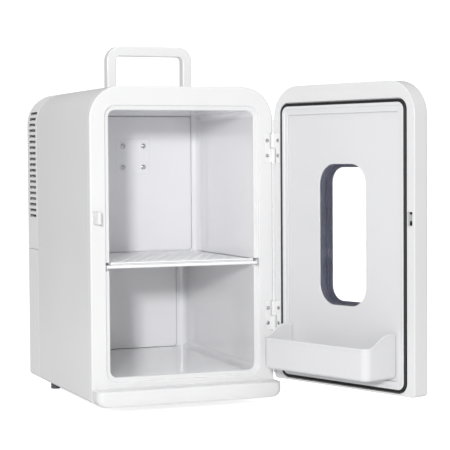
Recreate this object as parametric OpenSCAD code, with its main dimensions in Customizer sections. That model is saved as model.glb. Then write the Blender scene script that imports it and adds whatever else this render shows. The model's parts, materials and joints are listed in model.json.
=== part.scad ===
// Thermoelectric mini fridge with an open door, a carrying handle and a sliding shelf.
// Frame: +Z up, the door opens towards -Y, origin on the standing plane below the
// middle of the cabinet. Most modules are drawn in cabinet coordinates: x from the
// middle, y as depth behind the front face, z as height above the plinth's underside.

/* [Cabinet] */
// Width of the cabinet and of the door
body_w = 248; // [236:1:260]
// Depth of the cabinet from its front face to its rear face
body_d = 312; // [304:1:330]
// Height of the cabinet above the plinth's underside
body_h = 400; // [396:1:420]
// Radius of the two upper corners
corner_r = 42; // [30:1:46]
// Radius of the two lower corners
base_r = 5; // [4:0.5:8]
// Wall of the moulded shells
wall = 2.2; // [1.8:0.1:2.4]
// Height of the rubber feet below the plinth's underside
foot_h = 12; // [8:1:16]
// Depth of the front frame
frame_t = 10; // [9:0.5:12]
// Depth of the rear cover's sides
cover_d = 57.6; // [54:0.2:60]
// Height of the seam between the two rear covers
cover_split_z = 183; // [180:1:186]

/* [Compartment] */
// Width of the mouth and of the compartment
mouth_w = 196; // [188:1:198]
// Height of the compartment's floor at the mouth
mouth_z0 = 33; // [32:0.5:34]
// Height of the compartment's ceiling at the mouth
mouth_z1 = 369.5; // [366:0.5:370]
// Depth of the upper compartment
upper_d = 205; // [200:1:206]
// Depth of the lower compartment
lower_d = 262; // [256:1:264]
// Height of the liner's step between the two depths
step_z = 168; // [160:1:168]

/* [Shelf] */
// Height of the shelf's top face
shelf_z = 177.4; // [177:0.1:178]
// Depth of the shelf
shelf_d = 198; // [190:1:198]
// Width of one slot in the shelf
shelf_slot_w = 4.4; // [3:0.2:5]

/* [Door] */
// Opening angle of the door as drawn
door_open = 108.65; // [0:0.05:140]
// Thickness of the door
door_t = 24.6; // [24:0.2:27]
// Gap between the door and the cabinet's front face
door_gap = 3; // [3:0.1:3.2]
// Height of the door's lower edge
door_z0 = 21.5; // [21:0.1:22]
// Half width of the door window
window_hw = 41; // [34:0.5:44]
// Lower edge of the door window
window_z0 = 123.8; // [116:0.2:130]
// Upper edge of the door window
window_z1 = 300.1; // [290:0.1:306]
// Corner radius of the door window
window_r = 26; // [18:1:30]

/* [Door bin] */
// How far the bin stands out of the door
bin_d = 51; // [44:0.5:51]
// Underside of the bin
bin_z0 = 41.5; // [40:0.5:46]
// Top of the bin's front wall
bin_front_z = 81; // [76:0.5:84]
// Top of the bin's side walls at the door
bin_side_z = 96; // [90:0.5:100]

/* [Handle] */
// Outside width of the handle
handle_w = 120; // [110:1:120]
// Top of the handle when it stands up
handle_top_z = 459; // [450:1:460]
// Width of the handle's bar
handle_bar = 13; // [12:0.5:13.5]
// Thickness of the handle, front to back
handle_t = 15; // [13:0.5:15]
// Depth of the handle's pivots behind the front face
pivot_y = 135.5; // [134:0.5:140]
// Height of the handle's pivots
pivot_z = 391.8; // [391:0.1:392]

/* [Cooler] */
// Height of the cold block's centre
cooler_z = 311.6; // [308:0.2:313]
// Height of the fan's centre
fan_z = 306; // [300:1:310]
// Side of the square fan
fan_w = 92; // [80:1:92]

/* [Hidden] */
$fn = 64;

eps = 0.1;
seam = 0.3;
half_w = body_w / 2;
shell_z0 = 1.6;
split_y = body_d - cover_d;
liner_t = 2;
flange_t = 2;
foam_gap = 0.2;

// Mouth of the front frame
mouth_hw = mouth_w / 2;
mouth_r = 9;
recess_grow = 5.8;
recess_r = 14;
recess_t = 3.5;

// Plinth
plinth_d = 28;
plinth_h = 20;
plinth_r = 5;
plinth_low_r = 10;

// Compartment: the floor climbs and the ceiling falls a little towards the back
floor_rise = 3.5;
ceiling_drop = 2.5;

// Shelf and its grooves
groove_z0 = 170.4;
groove_h = 7.2;
groove_d = 5.5;
mouth_drop = 3;
mouth_lift = 0.6;
tongue_gap = 0.4;
tongue_t = 3.9;
shelf_plate_t = 2.4;
shelf_front = 2.5;
shelf_lip_t = 3;
slot_pitch_x = 12.6;
slot_pitch_y = 21;
slot_l = 12;

// Back of the compartment
cold_plate_hw = 85.5;
cold_plate_t = 1.5;
cold_plate_r = 6;
cold_plate_z0 = 179.5;
cold_plate_z1 = 364;
pad_hw = 25.5;
pad_t = 0.8;
screw_pitch = 29.4;
back_panel_hw = 82.5;
back_panel_t = 1.4;

// Cooler stack, as depths behind the front face
divider_upper_y = 238;
divider_lower_y = 283;
divider_t = 2;
block_hw = 23;
module_hw = 20;
module_t = 3.8;
sink_hw = 58;
sink_h = 132;
sink_base_t = 6;
sink_fin_h = 24;
sink_fin_t = 1.6;
sink_fins = 17;
sink_screw_x = 32;
fan_t = 25;
fan_gap = 1.5;
fan_duct_r = 43;
fan_hub_r = 15;
fan_shaft_r = 1.5;
running_gap = 0.05;
sink_y = divider_upper_y + divider_t;
fan_y = sink_y + sink_base_t + sink_fin_h + fan_gap;

// Vent slots of the rear cover
vent_rows = 19;
vent_pitch = 7.97;
vent_z0 = 229.5;
vent_h = 4;
vent_y0 = 261;
vent_l = 41;
grille_cols = 3;
grille_w = 38;
grille_pitch = 44;
edge_r = 7;

// Socket pocket of the lower rear cover
pocket_hw = 70;
pocket_z0 = 32;
pocket_z1 = 82;
pocket_d = 8;
socket_z = 57;
ac_x = -40;
dc_x = 0;
rocker_x = 38;
ac_w = 24;
ac_h = 18;
ac_well_r = 4.4;
ac_waist = 2.8;
ac_pin_x = 4.3;
ac_pin_r = 1.2;
dc_w = 22;
dc_h = 14;
dc_pin_x = 5.4;
rocker_w = 14;
rocker_h = 22;
rocker_axle_r = 1.2;
socket_t = 14;
socket_well = 11;
bezel_t = 1.6;
bezel_w = 2;
rocker_y = body_d - pocket_d - 2;

// Feet and cover screws
foot_places = [[84, 72], [103, 246]];
foot_r = 7;
cover_screw_r = 1.6;
cover_screw_x = 98;
cover_screw_z = [16, 168, 200, 352];
cover_boss_r = 4.5;
cover_boss_l = 46;

// Handle
handle_hw = handle_w / 2;
handle_corner_r = 19;
pivot_r = 3;
leg_r = handle_t / 2;
tray_gap = 1.4;
tray_t = 2;
tray_hw = handle_hw + tray_gap;
island_hw = handle_hw - handle_bar - tray_gap;
tray_y0 = pivot_y - leg_r - tray_gap;
tray_y1 = pivot_y + handle_top_z - pivot_z + tray_gap;
island_y1 = tray_y1 - handle_bar - 3 * tray_gap;
tray_z0 = pivot_z - leg_r - 1;
island_r = 6;
scoop_r = 14;

// Door stack, as depths (negative is in front of the cabinet's face)
door_in = -door_gap;
door_out = -door_gap - door_t;
liner_back = door_in - 4;
gasket_hw = 111;
gasket_w = 5;
gasket_z0 = 24.4;
gasket_z1 = 378.5;
gasket_r = 14;
gasket_seat = 2;
gasket_proud = 2.6;
ridge_w = 4.6;
ridge_proud = 1.4;
panel_hw = 97;
panel_z0 = 38;
panel_z1 = 363;
panel_recess = 1.5;
pane_t = 2;
pane_lap = 5;
flange_grip = 2;

// Hinges
hinge_x = 123.6;
hinge_y = -1.5;
knuckle_r = 3.2;
knuckle_gap = 0.4;
hinge_pin_r = 1.25;
leaf_h = 37.6;
leaf_t = 1.2;
leaf_proud = 0.4;
leaf_inner_x = 111.9;
leaf_free_x = hinge_x - knuckle_r - 0.6;
leaf_screw_x = 115.8;
leaf_screw_pitch = 19.6;
screw_head_r = 2;
screw_head_t = 0.8;
screw_shank_r = 1.2;
screw_shank_l = 7;
screw_hole_gap = 0.05;
hinge_z = [103.4, 321.1];

// Catch
catch_x = -116.2;
catch_z = 234.6;
catch_w = 6.4;
catch_h = 15.2;
catch_l = 14.5;
catch_root = 8;
keeper_slot_w = 7.8;
keeper_slot_h = 16.8;
keeper_wall = 1.8;
keeper_side = 0.8;
keeper_d = 17;
keeper_hw = keeper_slot_w / 2 + keeper_side;
keeper_hh = keeper_slot_h / 2 + keeper_wall;

// Door bin
bin_hw = 93;
bin_r = 16;
bin_wall = 2.2;
bin_flat = 13;
bin_steps = 12;

// ---- Helpers -------------------------------------------------------------------

// Moves cabinet coordinates into the part's own frame
module cabinet() {
    translate([0, -body_d / 2, foot_h]) children();
}

// Swings closed-door geometry, in cabinet coordinates, to the drawn opening angle
module on_door() {
    cabinet() translate([hinge_x, hinge_y, 0]) rotate([0, 0, door_open])
        translate([-hinge_x, -hinge_y, 0]) children();
}

// Extrudes an outline drawn in (x, z) from depth y0 to depth y1
module along_y(y0, y1) {
    translate([0, y1, 0]) rotate([90, 0, 0]) linear_extrude(y1 - y0) children();
}

// Extrudes an outline drawn in (y, z) from x0 to x1
module along_x(x0, x1) {
    translate([x0, 0, 0]) rotate([90, 0, 90]) linear_extrude(x1 - x0) children();
}

// A cylinder along y from y0 to y1
module rod_y(x, z, r, y0, y1) {
    translate([x, y1, z]) rotate([90, 0, 0]) cylinder(r = r, h = y1 - y0);
}

// A cylinder along x from x0 to x1
module rod_x(y, z, r, x0, x1) {
    translate([x0, y, z]) rotate([0, 90, 0]) cylinder(r = r, h = x1 - x0);
}

// A box given by two opposite corners
module block(a, b) {
    translate(a) cube(b - a);
}

// A rectangle with one radius for its upper and one for its lower corners
module round_rect(hw, z0, z1, r_top, r_low) {
    for (side = [-1, 1]) {
        translate([side * (hw - r_top), z1 - r_top]) circle(r = r_top);
        translate([side * (hw - r_low), z0 + r_low]) circle(r = r_low);
    }
    translate([-hw, z0 + r_low]) square([2 * hw, z1 - z0 - r_top - r_low]);
    translate([-hw + r_top, z1 - 2 * r_top]) square([2 * (hw - r_top), 2 * r_top]);
    translate([-hw + r_low, z0]) square([2 * (hw - r_low), 2 * r_low]);
}

// The cabinet's outline, moved inwards by inset
module body_outline(inset = 0) {
    round_rect(half_w - inset, shell_z0 + inset, body_h - inset, corner_r - inset,
               base_r - inset);
}

// The door's outline, moved inwards by inset
module door_outline(inset = 0) {
    round_rect(half_w - inset, door_z0 + inset, body_h - inset, corner_r - inset,
               base_r - inset);
}

// The mouth's outline, moved outwards by grow
module mouth_outline(grow = 0, r = mouth_r) {
    round_rect(mouth_hw + grow, mouth_z0 - grow, mouth_z1 + grow, r, r);
}

// The window's outline, moved outwards by grow
module window_outline(grow = 0) {
    round_rect(window_hw + grow, window_z0 - grow, window_z1 + grow, window_r + grow,
               window_r + grow);
}

// A pan-head screw whose head stands on depth y and points towards -Y
module pan_screw(x, y, z, head_r, head_t, shank_r, shank_l) {
    difference() {
        union() {
            rod_y(x, z, head_r, y - head_t, y);
            rod_y(x, z, shank_r, y - eps, y + shank_l);
        }
        for (turn = [0, 90])
            translate([x, y - head_t, z]) rotate([0, turn, 0])
                cube([head_r * 1.2, head_t, head_r * 0.3], center = true);
    }
}

// ---- Cabinet -------------------------------------------------------------------

// The sleeve of the sides, top and bottom, cut open for the handle's tray
module outer_shell() {
    color("whitesmoke") cabinet() difference() {
        along_y(frame_t + seam, split_y - seam / 2) difference() {
            body_outline();
            body_outline(wall);
        }
        block([-tray_hw, tray_y0, body_h - 2 * wall], [tray_hw, tray_y1, body_h + eps]);
        for (side = [-1, 1], place = foot_places)
            translate([side * place[0], place[1], 0]) cylinder(r = foot_r / 2 + seam, h = 2 * wall);
    }
}

// The vertical pockets and the screw holes that the hinges need in the frame
module frame_hinge_cuts() {
    for (z = hinge_z) {
        translate([hinge_x, hinge_y, z - leaf_h / 2 - knuckle_gap])
            cylinder(r = knuckle_r + knuckle_gap, h = leaf_h + 2 * knuckle_gap);
        block([leaf_inner_x, -eps, z - leaf_h / 2], [hinge_x, leaf_t - leaf_proud, z + leaf_h / 2]);
        for (side = [-1, 1])
            rod_y(leaf_screw_x, z + side * leaf_screw_pitch / 2,
                  screw_shank_r + screw_hole_gap, 0, screw_shank_l + 1);
    }
}

// The grooves' flared mouths, cut into the frame
module groove_mouths() {
    reach = groove_d + 1;
    for (side = [-1, 1])
        translate([side * mouth_hw, 0, 0])
            block([-reach, -eps, groove_z0 - mouth_drop],
                  [reach, frame_t + eps, groove_z0 + groove_h + mouth_lift]);
}

// The ring round the mouth, with a stepped recess, hinge pockets and a catch hole
module front_frame() {
    color("white") cabinet() difference() {
        along_y(0, frame_t) body_outline();
        along_y(-eps, frame_t + eps) mouth_outline();
        along_y(-eps, recess_t) mouth_outline(recess_grow, recess_r);
        groove_mouths();
        frame_hinge_cuts();
        block([catch_x - catch_w / 2, -eps, catch_z - catch_h / 2],
              [catch_x + catch_w / 2, catch_root, catch_z + catch_h / 2]);
    }
}

// The lip that stands out below the door
module plinth() {
    color("white") cabinet() intersection() {
        linear_extrude(plinth_h) {
            for (side = [-1, 1])
                translate([side * (half_w - plinth_r), plinth_r - plinth_d]) circle(r = plinth_r);
            translate([-half_w, plinth_r - plinth_d])
                square([2 * half_w, plinth_d - plinth_r]);
            translate([plinth_r - half_w, -plinth_d])
                square([2 * (half_w - plinth_r), plinth_d]);
        }
        rotate([90, 0, 0]) translate([0, 0, -1]) linear_extrude(plinth_d + 2) {
            for (side = [-1, 1])
                translate([side * (half_w - plinth_low_r), plinth_low_r]) circle(r = plinth_low_r);
            translate([plinth_low_r - half_w, 0])
                square([2 * (half_w - plinth_low_r), plinth_h]);
            translate([-half_w, plinth_low_r])
                square([2 * half_w, plinth_h - plinth_low_r]);
        }
    }
}

// Side view of the compartment, grown by t on every face but the front
module cavity_profile(y0, t) {
    polygon([
        [y0, mouth_z0 - t], [lower_d + t, mouth_z0 + floor_rise - t],
        [lower_d + t, step_z + t], [upper_d + t, step_z + t],
        [upper_d + t, mouth_z1 - ceiling_drop + t], [y0, mouth_z1 + t]
    ]);
}

// The compartment's space from depth y0, grown by t, without its grooves
module cavity(y0, t) {
    intersection() {
        along_x(-mouth_hw - t, mouth_hw + t) cavity_profile(y0, t);
        along_y(y0, lower_d + t) mouth_outline(t, mouth_r + t);
    }
}

// The two shelf grooves from depth y0, grown by t
module grooves(y0, t) {
    for (side = [-1, 1])
        block([side * mouth_hw - groove_d - t, y0, groove_z0 - t],
              [side * mouth_hw + groove_d + t, upper_d - liner_t + t, groove_z0 + groove_h + t]);
}

// The outside of the liner's tub
module liner_outside(grow = 0) {
    cavity(frame_t, liner_t + grow);
    grooves(frame_t, liner_t + grow);
    along_y(frame_t, frame_t + flange_t + grow) mouth_outline(recess_grow + 4 + grow, recess_r);
}

// The white tub of the compartment
module inner_liner() {
    color("ghostwhite") cabinet() difference() {
        liner_outside();
        cavity(frame_t - eps, 0);
        grooves(frame_t - eps, 0);
        block([-block_hw - 1, upper_d - 1, cooler_z - block_hw - 1],
              [block_hw + 1, upper_d + 2 * liner_t, cooler_z + block_hw + 1]);
    }
}

// The flat panel that closes the back of the lower compartment
module lower_back_panel() {
    color("ghostwhite") cabinet()
        along_y(lower_d - back_panel_t, lower_d)
            round_rect(back_panel_hw, mouth_z0 + floor_rise + 0.5, step_z - 1, 3, 3);
}

// The plate that cools the upper compartment, with a raised square where the block is
module cold_plate() {
    color("gainsboro") cabinet() difference() {
        union() {
            along_y(upper_d - cold_plate_t, upper_d)
                round_rect(cold_plate_hw, cold_plate_z0, cold_plate_z1, 2, cold_plate_r);
            along_y(upper_d - cold_plate_t - pad_t, upper_d)
                round_rect(pad_hw, cooler_z - pad_hw, cooler_z + pad_hw, 3, 3);
        }
        for (sx = [-1, 1], sz = [-1, 1])
            rod_y(sx * screw_pitch / 2, cooler_z + sz * screw_pitch / 2, 2, 0, body_d);
    }
}

// The four screws that hold the plate to the cold block
module plate_screws() {
    color("silver") cabinet()
        for (sx = [-1, 1], sz = [-1, 1])
            pan_screw(sx * screw_pitch / 2, upper_d - cold_plate_t - pad_t,
                      cooler_z + sz * screw_pitch / 2, 3.4, 1.6, 1.9, 14);
}

// The foam between shell and liner, cut away for the cooler, the tray and the divider
module foam_insulation() {
    color("khaki") cabinet() difference() {
        along_y(frame_t + seam, divider_lower_y) body_outline(wall + foam_gap);
        block([-half_w, divider_upper_y, step_z + liner_t + 8], [half_w, body_d, body_h]);
        liner_outside(foam_gap);
        block([-tray_hw - tray_t - seam, tray_y0 - tray_t - seam, tray_z0 - tray_t - seam],
              [tray_hw + tray_t + seam, tray_y1 + tray_t + seam, body_h + eps]);
        block([-block_hw - 1, upper_d - 1, cooler_z - block_hw - 1],
              [block_hw + 1, body_d, cooler_z + block_hw + 1]);
        for (side = [-1, 1])
            rod_y(side * sink_screw_x, cooler_z, 1.7, divider_upper_y - 9, body_d);
    }
}

// The stepped sheet that closes the foam at the back
module rear_divider() {
    z_step = step_z + liner_t + 8;
    color("lightgray") cabinet() difference() {
        intersection() {
            along_x(-half_w, half_w) polygon([
                [divider_lower_y, 8], [divider_lower_y + divider_t, 8],
                [divider_lower_y + divider_t, z_step + divider_t],
                [divider_upper_y + divider_t, z_step + divider_t],
                [divider_upper_y + divider_t, body_h - 8], [divider_upper_y, body_h - 8],
                [divider_upper_y, z_step], [divider_lower_y, z_step]
            ]);
            along_y(divider_upper_y, body_d) body_outline(wall + foam_gap);
        }
        block([-block_hw - 1, divider_upper_y - 1, cooler_z - block_hw - 1],
              [block_hw + 1, divider_upper_y + 2 * divider_t, cooler_z + block_hw + 1]);
        for (side = [-1, 1])
            rod_y(side * sink_screw_x, cooler_z, 1.6, 0, body_d);
    }
}

// The aluminium block between the cold plate and the Peltier module
module cold_block() {
    color("silver") cabinet() difference() {
        block([-block_hw, upper_d, cooler_z - block_hw],
              [block_hw, sink_y - module_t, cooler_z + block_hw]);
        for (sx = [-1, 1], sz = [-1, 1])
            rod_y(sx * screw_pitch / 2, cooler_z + sz * screw_pitch / 2, 1.95,
                  upper_d - 1, upper_d + 12.5);
    }
}

// The thin square that pumps heat from the block to the sink
module peltier_module() {
    color("white") cabinet()
        block([-module_hw, sink_y - module_t, cooler_z - module_hw],
              [module_hw, sink_y, cooler_z + module_hw]);
}

// The soft ring that keeps damp away from the module
module module_seal() {
    color("dimgray") cabinet() difference() {
        block([-block_hw, sink_y - module_t, cooler_z - block_hw],
              [block_hw, sink_y, cooler_z + block_hw]);
        block([-module_hw, 0, cooler_z - module_hw], [module_hw, body_d, cooler_z + module_hw]);
    }
}

// The finned sink behind the divider
module heat_sink() {
    fin_pitch = (2 * sink_hw - sink_fin_t) / (sink_fins - 1);
    color("silver") cabinet() difference() {
        union() {
            block([-sink_hw, sink_y, fan_z - sink_h / 2],
                  [sink_hw, sink_y + sink_base_t, fan_z + sink_h / 2]);
            for (i = [0:sink_fins - 1])
                translate([-sink_hw + i * fin_pitch, sink_y + sink_base_t - eps, fan_z - sink_h / 2])
                    cube([sink_fin_t, sink_fin_h + eps, sink_h]);
        }
        for (side = [-1, 1]) {
            rod_y(side * sink_screw_x, cooler_z, 1.6, 0, body_d);
            rod_y(side * sink_screw_x, cooler_z, 4, sink_y + sink_base_t, body_d);
        }
    }
}

// The two screws that clamp the sink to the divider and the foam
module heat_sink_screws() {
    head_y = sink_y + sink_base_t;
    color("silver") cabinet()
        for (side = [-1, 1])
            difference() {
                union() {
                    rod_y(side * sink_screw_x, cooler_z, 3.5, head_y, head_y + 2.4);
                    rod_y(side * sink_screw_x, cooler_z, 1.5, divider_upper_y - 8, head_y + eps);
                }
                translate([side * sink_screw_x, head_y + 2.4, cooler_z])
                    cube([5, 2, 1], center = true);
            }
}

// The fan's square housing, with its round duct, motor seat and three arms
module fan_frame() {
    color("dimgray") cabinet() difference() {
        union() {
            difference() {
                block([-fan_w / 2, fan_y, fan_z - fan_w / 2],
                      [fan_w / 2, fan_y + fan_t, fan_z + fan_w / 2]);
                rod_y(0, fan_z, fan_duct_r, fan_y - 1, fan_y + fan_t + 1);
            }
            rod_y(0, fan_z, fan_hub_r, fan_y, fan_y + 5);
            for (turn = [0, 120, 240])
                translate([0, fan_y + 1.5, fan_z]) rotate([0, turn, 0])
                    translate([-2, -1.5, fan_hub_r - 1]) cube([4, 3, fan_duct_r - fan_hub_r + 2]);
        }
        rod_y(0, fan_z, fan_shaft_r + running_gap, fan_y - 1, fan_y + fan_t);
        for (sx = [-1, 1], sz = [-1, 1])
            rod_y(sx * 41.25, fan_z + sz * 41.25, 2.2, fan_y - 1, fan_y + fan_t + 1);
    }
}

// The fan's wheel: a hub on a shaft with seven pitched blades
module fan_impeller() {
    blades = 7;
    color("black") cabinet() union() {
        rod_y(0, fan_z, fan_hub_r, fan_y + 5.6, fan_y + fan_t - 2);
        rod_y(0, fan_z, fan_shaft_r, fan_y + 1, fan_y + 8);
        for (i = [0:blades - 1])
            translate([0, fan_y + fan_t / 2 + 2, fan_z]) rotate([0, i * 360 / blades, 0])
                translate([0, 0, fan_hub_r - 1]) rotate([0, 0, 40])
                    translate([-8, -0.8, 0]) cube([16, 1.6, fan_duct_r - fan_hub_r - 0.6]);
    }
}

// The supply: a board on four posts with its transformer, capacitors and sink
module power_board() {
    board_y = divider_lower_y + divider_t + 3;
    color("darkgreen") cabinet() union() {
        block([-58, board_y, 96], [46, board_y + 1.6, 164]);
        for (x = [-53, 41], z = [101, 159])
            rod_y(x, z, 3, board_y - 3, board_y + eps);
        block([-30, board_y, 112], [2, board_y + 18, 140]);
        for (x = [14, 30])
            rod_y(x, 146, 6, board_y, board_y + 17);
        block([-50, board_y, 104], [-46, board_y + 16, 150]);
        block([12, board_y, 104], [38, board_y + 9, 120]);
    }
}

// A socket's body from its back to its bezel, centred on x and half w by half h in size
module socket_body(x, hw, hh) {
    face_y = body_d - pocket_d;
    block([x - hw, face_y - socket_t, socket_z - hh], [x + hw, face_y, socket_z + hh]);
    block([x - hw - bezel_w, face_y, socket_z - hh - bezel_w],
          [x + hw + bezel_w, face_y + bezel_t, socket_z + hh + bezel_w]);
}

// The mains inlet: a socket with a figure-eight recess
module ac_inlet() {
    floor_y = body_d - pocket_d - socket_well;
    color("black") cabinet() difference() {
        socket_body(ac_x, ac_w / 2, ac_h / 2);
        for (side = [-1, 1])
            rod_y(ac_x + side * ac_pin_x, socket_z, ac_well_r, floor_y, body_d);
        block([ac_x - ac_pin_x, floor_y, socket_z - ac_waist],
              [ac_x + ac_pin_x, body_d, socket_z + ac_waist]);
        inlet_pin_shapes(running_gap / 2);
    }
}

// The 12 V inlet: a socket with an oblong recess
module dc_inlet() {
    floor_y = body_d - pocket_d - socket_well;
    color("black") cabinet() difference() {
        socket_body(dc_x, dc_w / 2, dc_h / 2);
        block([dc_x - dc_w / 2 + 2.4, floor_y, socket_z - dc_h / 2 + 2.4],
              [dc_x + dc_w / 2 - 2.4, body_d, socket_z + dc_h / 2 - 2.4]);
        inlet_pin_shapes(running_gap / 2);
    }
}

// The inlets' contacts: two round pins and two flat blades, grown by a gap all round
module inlet_pin_shapes(gap = 0) {
    root_y = body_d - pocket_d - socket_well - 2 - gap;
    tip_y = body_d - pocket_d - 1;
    for (side = [-1, 1]) {
        rod_y(ac_x + side * ac_pin_x, socket_z, ac_pin_r + gap, root_y, tip_y);
        block([dc_x + side * dc_pin_x - 0.6 - gap, root_y, socket_z - 2.5 - gap],
              [dc_x + side * dc_pin_x + 0.6 + gap, tip_y, socket_z + 2.5 + gap]);
    }
}

// The plated contacts of both inlets
module inlet_pins() {
    color("silver") cabinet() inlet_pin_shapes();
}

// The housing of the three-way rocker
module rocker_frame() {
    face_y = body_d - pocket_d;
    color("black") cabinet() difference() {
        union() {
            block([rocker_x - rocker_w / 2 - 2, face_y - socket_t, socket_z - rocker_h / 2 - 2],
                  [rocker_x + rocker_w / 2 + 2, face_y, socket_z + rocker_h / 2 + 2]);
            block([rocker_x - rocker_w / 2 - 4, face_y, socket_z - rocker_h / 2 - 4],
                  [rocker_x + rocker_w / 2 + 4, face_y + bezel_t, socket_z + rocker_h / 2 + 4]);
        }
        block([rocker_x - rocker_w / 2, face_y - socket_t + 2, socket_z - rocker_h / 2],
              [rocker_x + rocker_w / 2, body_d, socket_z + rocker_h / 2]);
        rod_x(rocker_y, socket_z, rocker_axle_r + running_gap, rocker_x - rocker_w / 2 - 1.6,
              rocker_x + rocker_w / 2 + 1.6);
    }
}

// The rocker that picks cold, off or warm: a shallow roof on a cross axle
module mode_rocker() {
    tip_y = body_d - pocket_d + bezel_t;
    color("dimgray") cabinet() union() {
        along_x(rocker_x - rocker_w / 2 + 0.4, rocker_x + rocker_w / 2 - 0.4) polygon([
            [rocker_y - 4, socket_z - 4], [tip_y + 2.4, socket_z - rocker_h / 2 + 1.2],
            [tip_y + 0.8, socket_z], [tip_y + 2.4, socket_z + rocker_h / 2 - 1.2],
            [rocker_y - 4, socket_z + 4]
        ]);
        rod_x(rocker_y, socket_z, rocker_axle_r, rocker_x - rocker_w / 2 - 1.4,
              rocker_x + rocker_w / 2 + 1.4);
    }
}

// The outside of both rear covers, with its rear edge rounded over
module cover_outside() {
    steps = 5;
    hull() {
        along_y(split_y + seam / 2, body_d - edge_r) body_outline($fn = 32);
        for (i = [1:steps])
            along_y(body_d - edge_r, body_d - edge_r + edge_r * sin(90 * i / steps))
                body_outline_soft(edge_r * (1 - cos(90 * i / steps)));
    }
}

// The cabinet's outline for the rounded rear edge, where both radii shrink safely
module body_outline_soft(inset) {
    round_rect(half_w - inset, shell_z0 + inset, body_h - inset, corner_r - inset,
               max(base_r - inset, 1), $fn = 32);
}

// The covers' common shell: its outside less its inside
module cover_shell() {
    difference() {
        cover_outside();
        along_y(0, body_d - edge_r - 1) body_outline(wall);
        along_y(body_d / 2, body_d - wall)
            round_rect(half_w - edge_r + 1, shell_z0 + edge_r - 1, body_h - edge_r + 1,
                       corner_r - edge_r + 1, 2);
    }
}

// The bosses that take the cover screws, from depth y0 to the rear wall
module cover_bosses(zs, y0) {
    for (side = [-1, 1], z = zs)
        rod_y(side * cover_screw_x, z, cover_boss_r, y0, body_d - wall + eps);
}

// The holes for the cover screws, with a countersunk seat for the heads
module cover_holes(zs) {
    for (side = [-1, 1], z = zs) {
        rod_y(side * cover_screw_x, z, cover_screw_r + 0.1, 0, body_d + 1);
        rod_y(side * cover_screw_x, z, 3.4, body_d - 1.4, body_d + 1);
    }
}

// The vented upper cover, whose slots also run round on to the sides
module rear_cover() {
    zs = [cover_screw_z[2], cover_screw_z[3]];
    color("whitesmoke") cabinet() difference() {
        union() {
            intersection() {
                cover_shell();
                block([-half_w, 0, cover_split_z], [half_w, body_d, body_h]);
            }
            cover_bosses(zs, body_d - cover_boss_l);
        }
        for (i = [0:vent_rows - 1]) {
            z = vent_z0 + i * vent_pitch - vent_h / 2;
            for (side = [-1, 1])
                translate([side * half_w - 20, vent_y0, z]) cube([40, vent_l, vent_h]);
            for (c = [0:grille_cols - 1])
                translate([(c - (grille_cols - 1) / 2) * grille_pitch - grille_w / 2,
                           body_d - 2 * wall, z])
                    cube([grille_w, 4 * wall, vent_h]);
        }
        cover_holes(zs);
    }
}

// The plain lower cover, with a pocket for the sockets and the switch
module rear_base_cover() {
    zs = [cover_screw_z[0], cover_screw_z[1]];
    floor_y = body_d - pocket_d;
    color("whitesmoke") cabinet() difference() {
        union() {
            intersection() {
                cover_shell();
                block([-half_w, 0, 0], [half_w, body_d, cover_split_z - 2 * seam]);
            }
            block([-pocket_hw - wall, floor_y - wall, pocket_z0 - wall],
                  [pocket_hw + wall, body_d - wall + eps, pocket_z1 + wall]);
            cover_bosses(zs, divider_lower_y + divider_t + 1);
        }
        block([-pocket_hw, floor_y, pocket_z0], [pocket_hw, body_d + 1, pocket_z1]);
        block([ac_x - ac_w / 2, 0, socket_z - ac_h / 2], [ac_x + ac_w / 2, body_d, socket_z + ac_h / 2]);
        block([dc_x - dc_w / 2, 0, socket_z - dc_h / 2], [dc_x + dc_w / 2, body_d, socket_z + dc_h / 2]);
        block([rocker_x - rocker_w / 2 - 2, 0, socket_z - rocker_h / 2 - 2],
              [rocker_x + rocker_w / 2 + 2, body_d, socket_z + rocker_h / 2 + 2]);
        cover_holes(zs);
    }
}

// The eight screws of the rear covers, in their seats
module cover_screws() {
    color("silver") cabinet()
        for (side = [-1, 1], z = cover_screw_z)
            difference() {
                union() {
                    rod_y(side * cover_screw_x, z, 3, body_d - 1.4, body_d - 0.2);
                    rod_y(side * cover_screw_x, z, cover_screw_r, body_d - 18, body_d - 1);
                }
                for (turn = [0, 90])
                    translate([side * cover_screw_x, body_d, z]) rotate([0, turn, 0])
                        cube([3.6, 1.2, 0.8], center = true);
            }
}

// The four rubber feet, each with a stud that goes up into the shell
module feet() {
    color("dimgray") translate([0, -body_d / 2, 0])
        for (side = [-1, 1], place = foot_places)
            translate([side * place[0], place[1], 0]) {
                cylinder(r1 = foot_r - 0.7, r2 = foot_r, h = foot_h + shell_z0);
                cylinder(r = foot_r / 2, h = foot_h + shell_z0 + wall);
            }
}

// ---- Handle --------------------------------------------------------------------

// Plan of the flat island that the folded handle lies round
module island_plan() {
    y0 = tray_y0 + seam;
    translate([-island_hw, y0]) square([2 * island_hw, island_y1 - island_r - y0]);
    translate([island_r - island_hw, y0]) square([2 * (island_hw - island_r), island_y1 - y0]);
    for (side = [-1, 1])
        translate([side * (island_hw - island_r), island_y1 - island_r]) circle(r = island_r);
}

// The moulded tray that the handle folds into, a channel round a flat island
module handle_tray() {
    color("whitesmoke") cabinet() difference() {
        union() {
            difference() {
                block([-tray_hw - tray_t, tray_y0 - tray_t, tray_z0 - tray_t],
                      [tray_hw + tray_t, tray_y1 + tray_t, body_h - wall - seam / 2]);
                block([-tray_hw, tray_y0, tray_z0], [tray_hw, tray_y1, body_h]);
            }
            translate([0, 0, tray_z0 - eps]) linear_extrude(body_h - tray_z0 + eps) island_plan();
        }
        block([-island_hw + tray_t, tray_y0, 0],
              [island_hw - tray_t, island_y1 - scoop_r, body_h - wall - tray_t]);
        rod_x(pivot_y, pivot_z, pivot_r + 0.02, -half_w, half_w);
        translate([0, island_y1, body_h + 2]) sphere(r = scoop_r - 2);
    }
}

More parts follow.
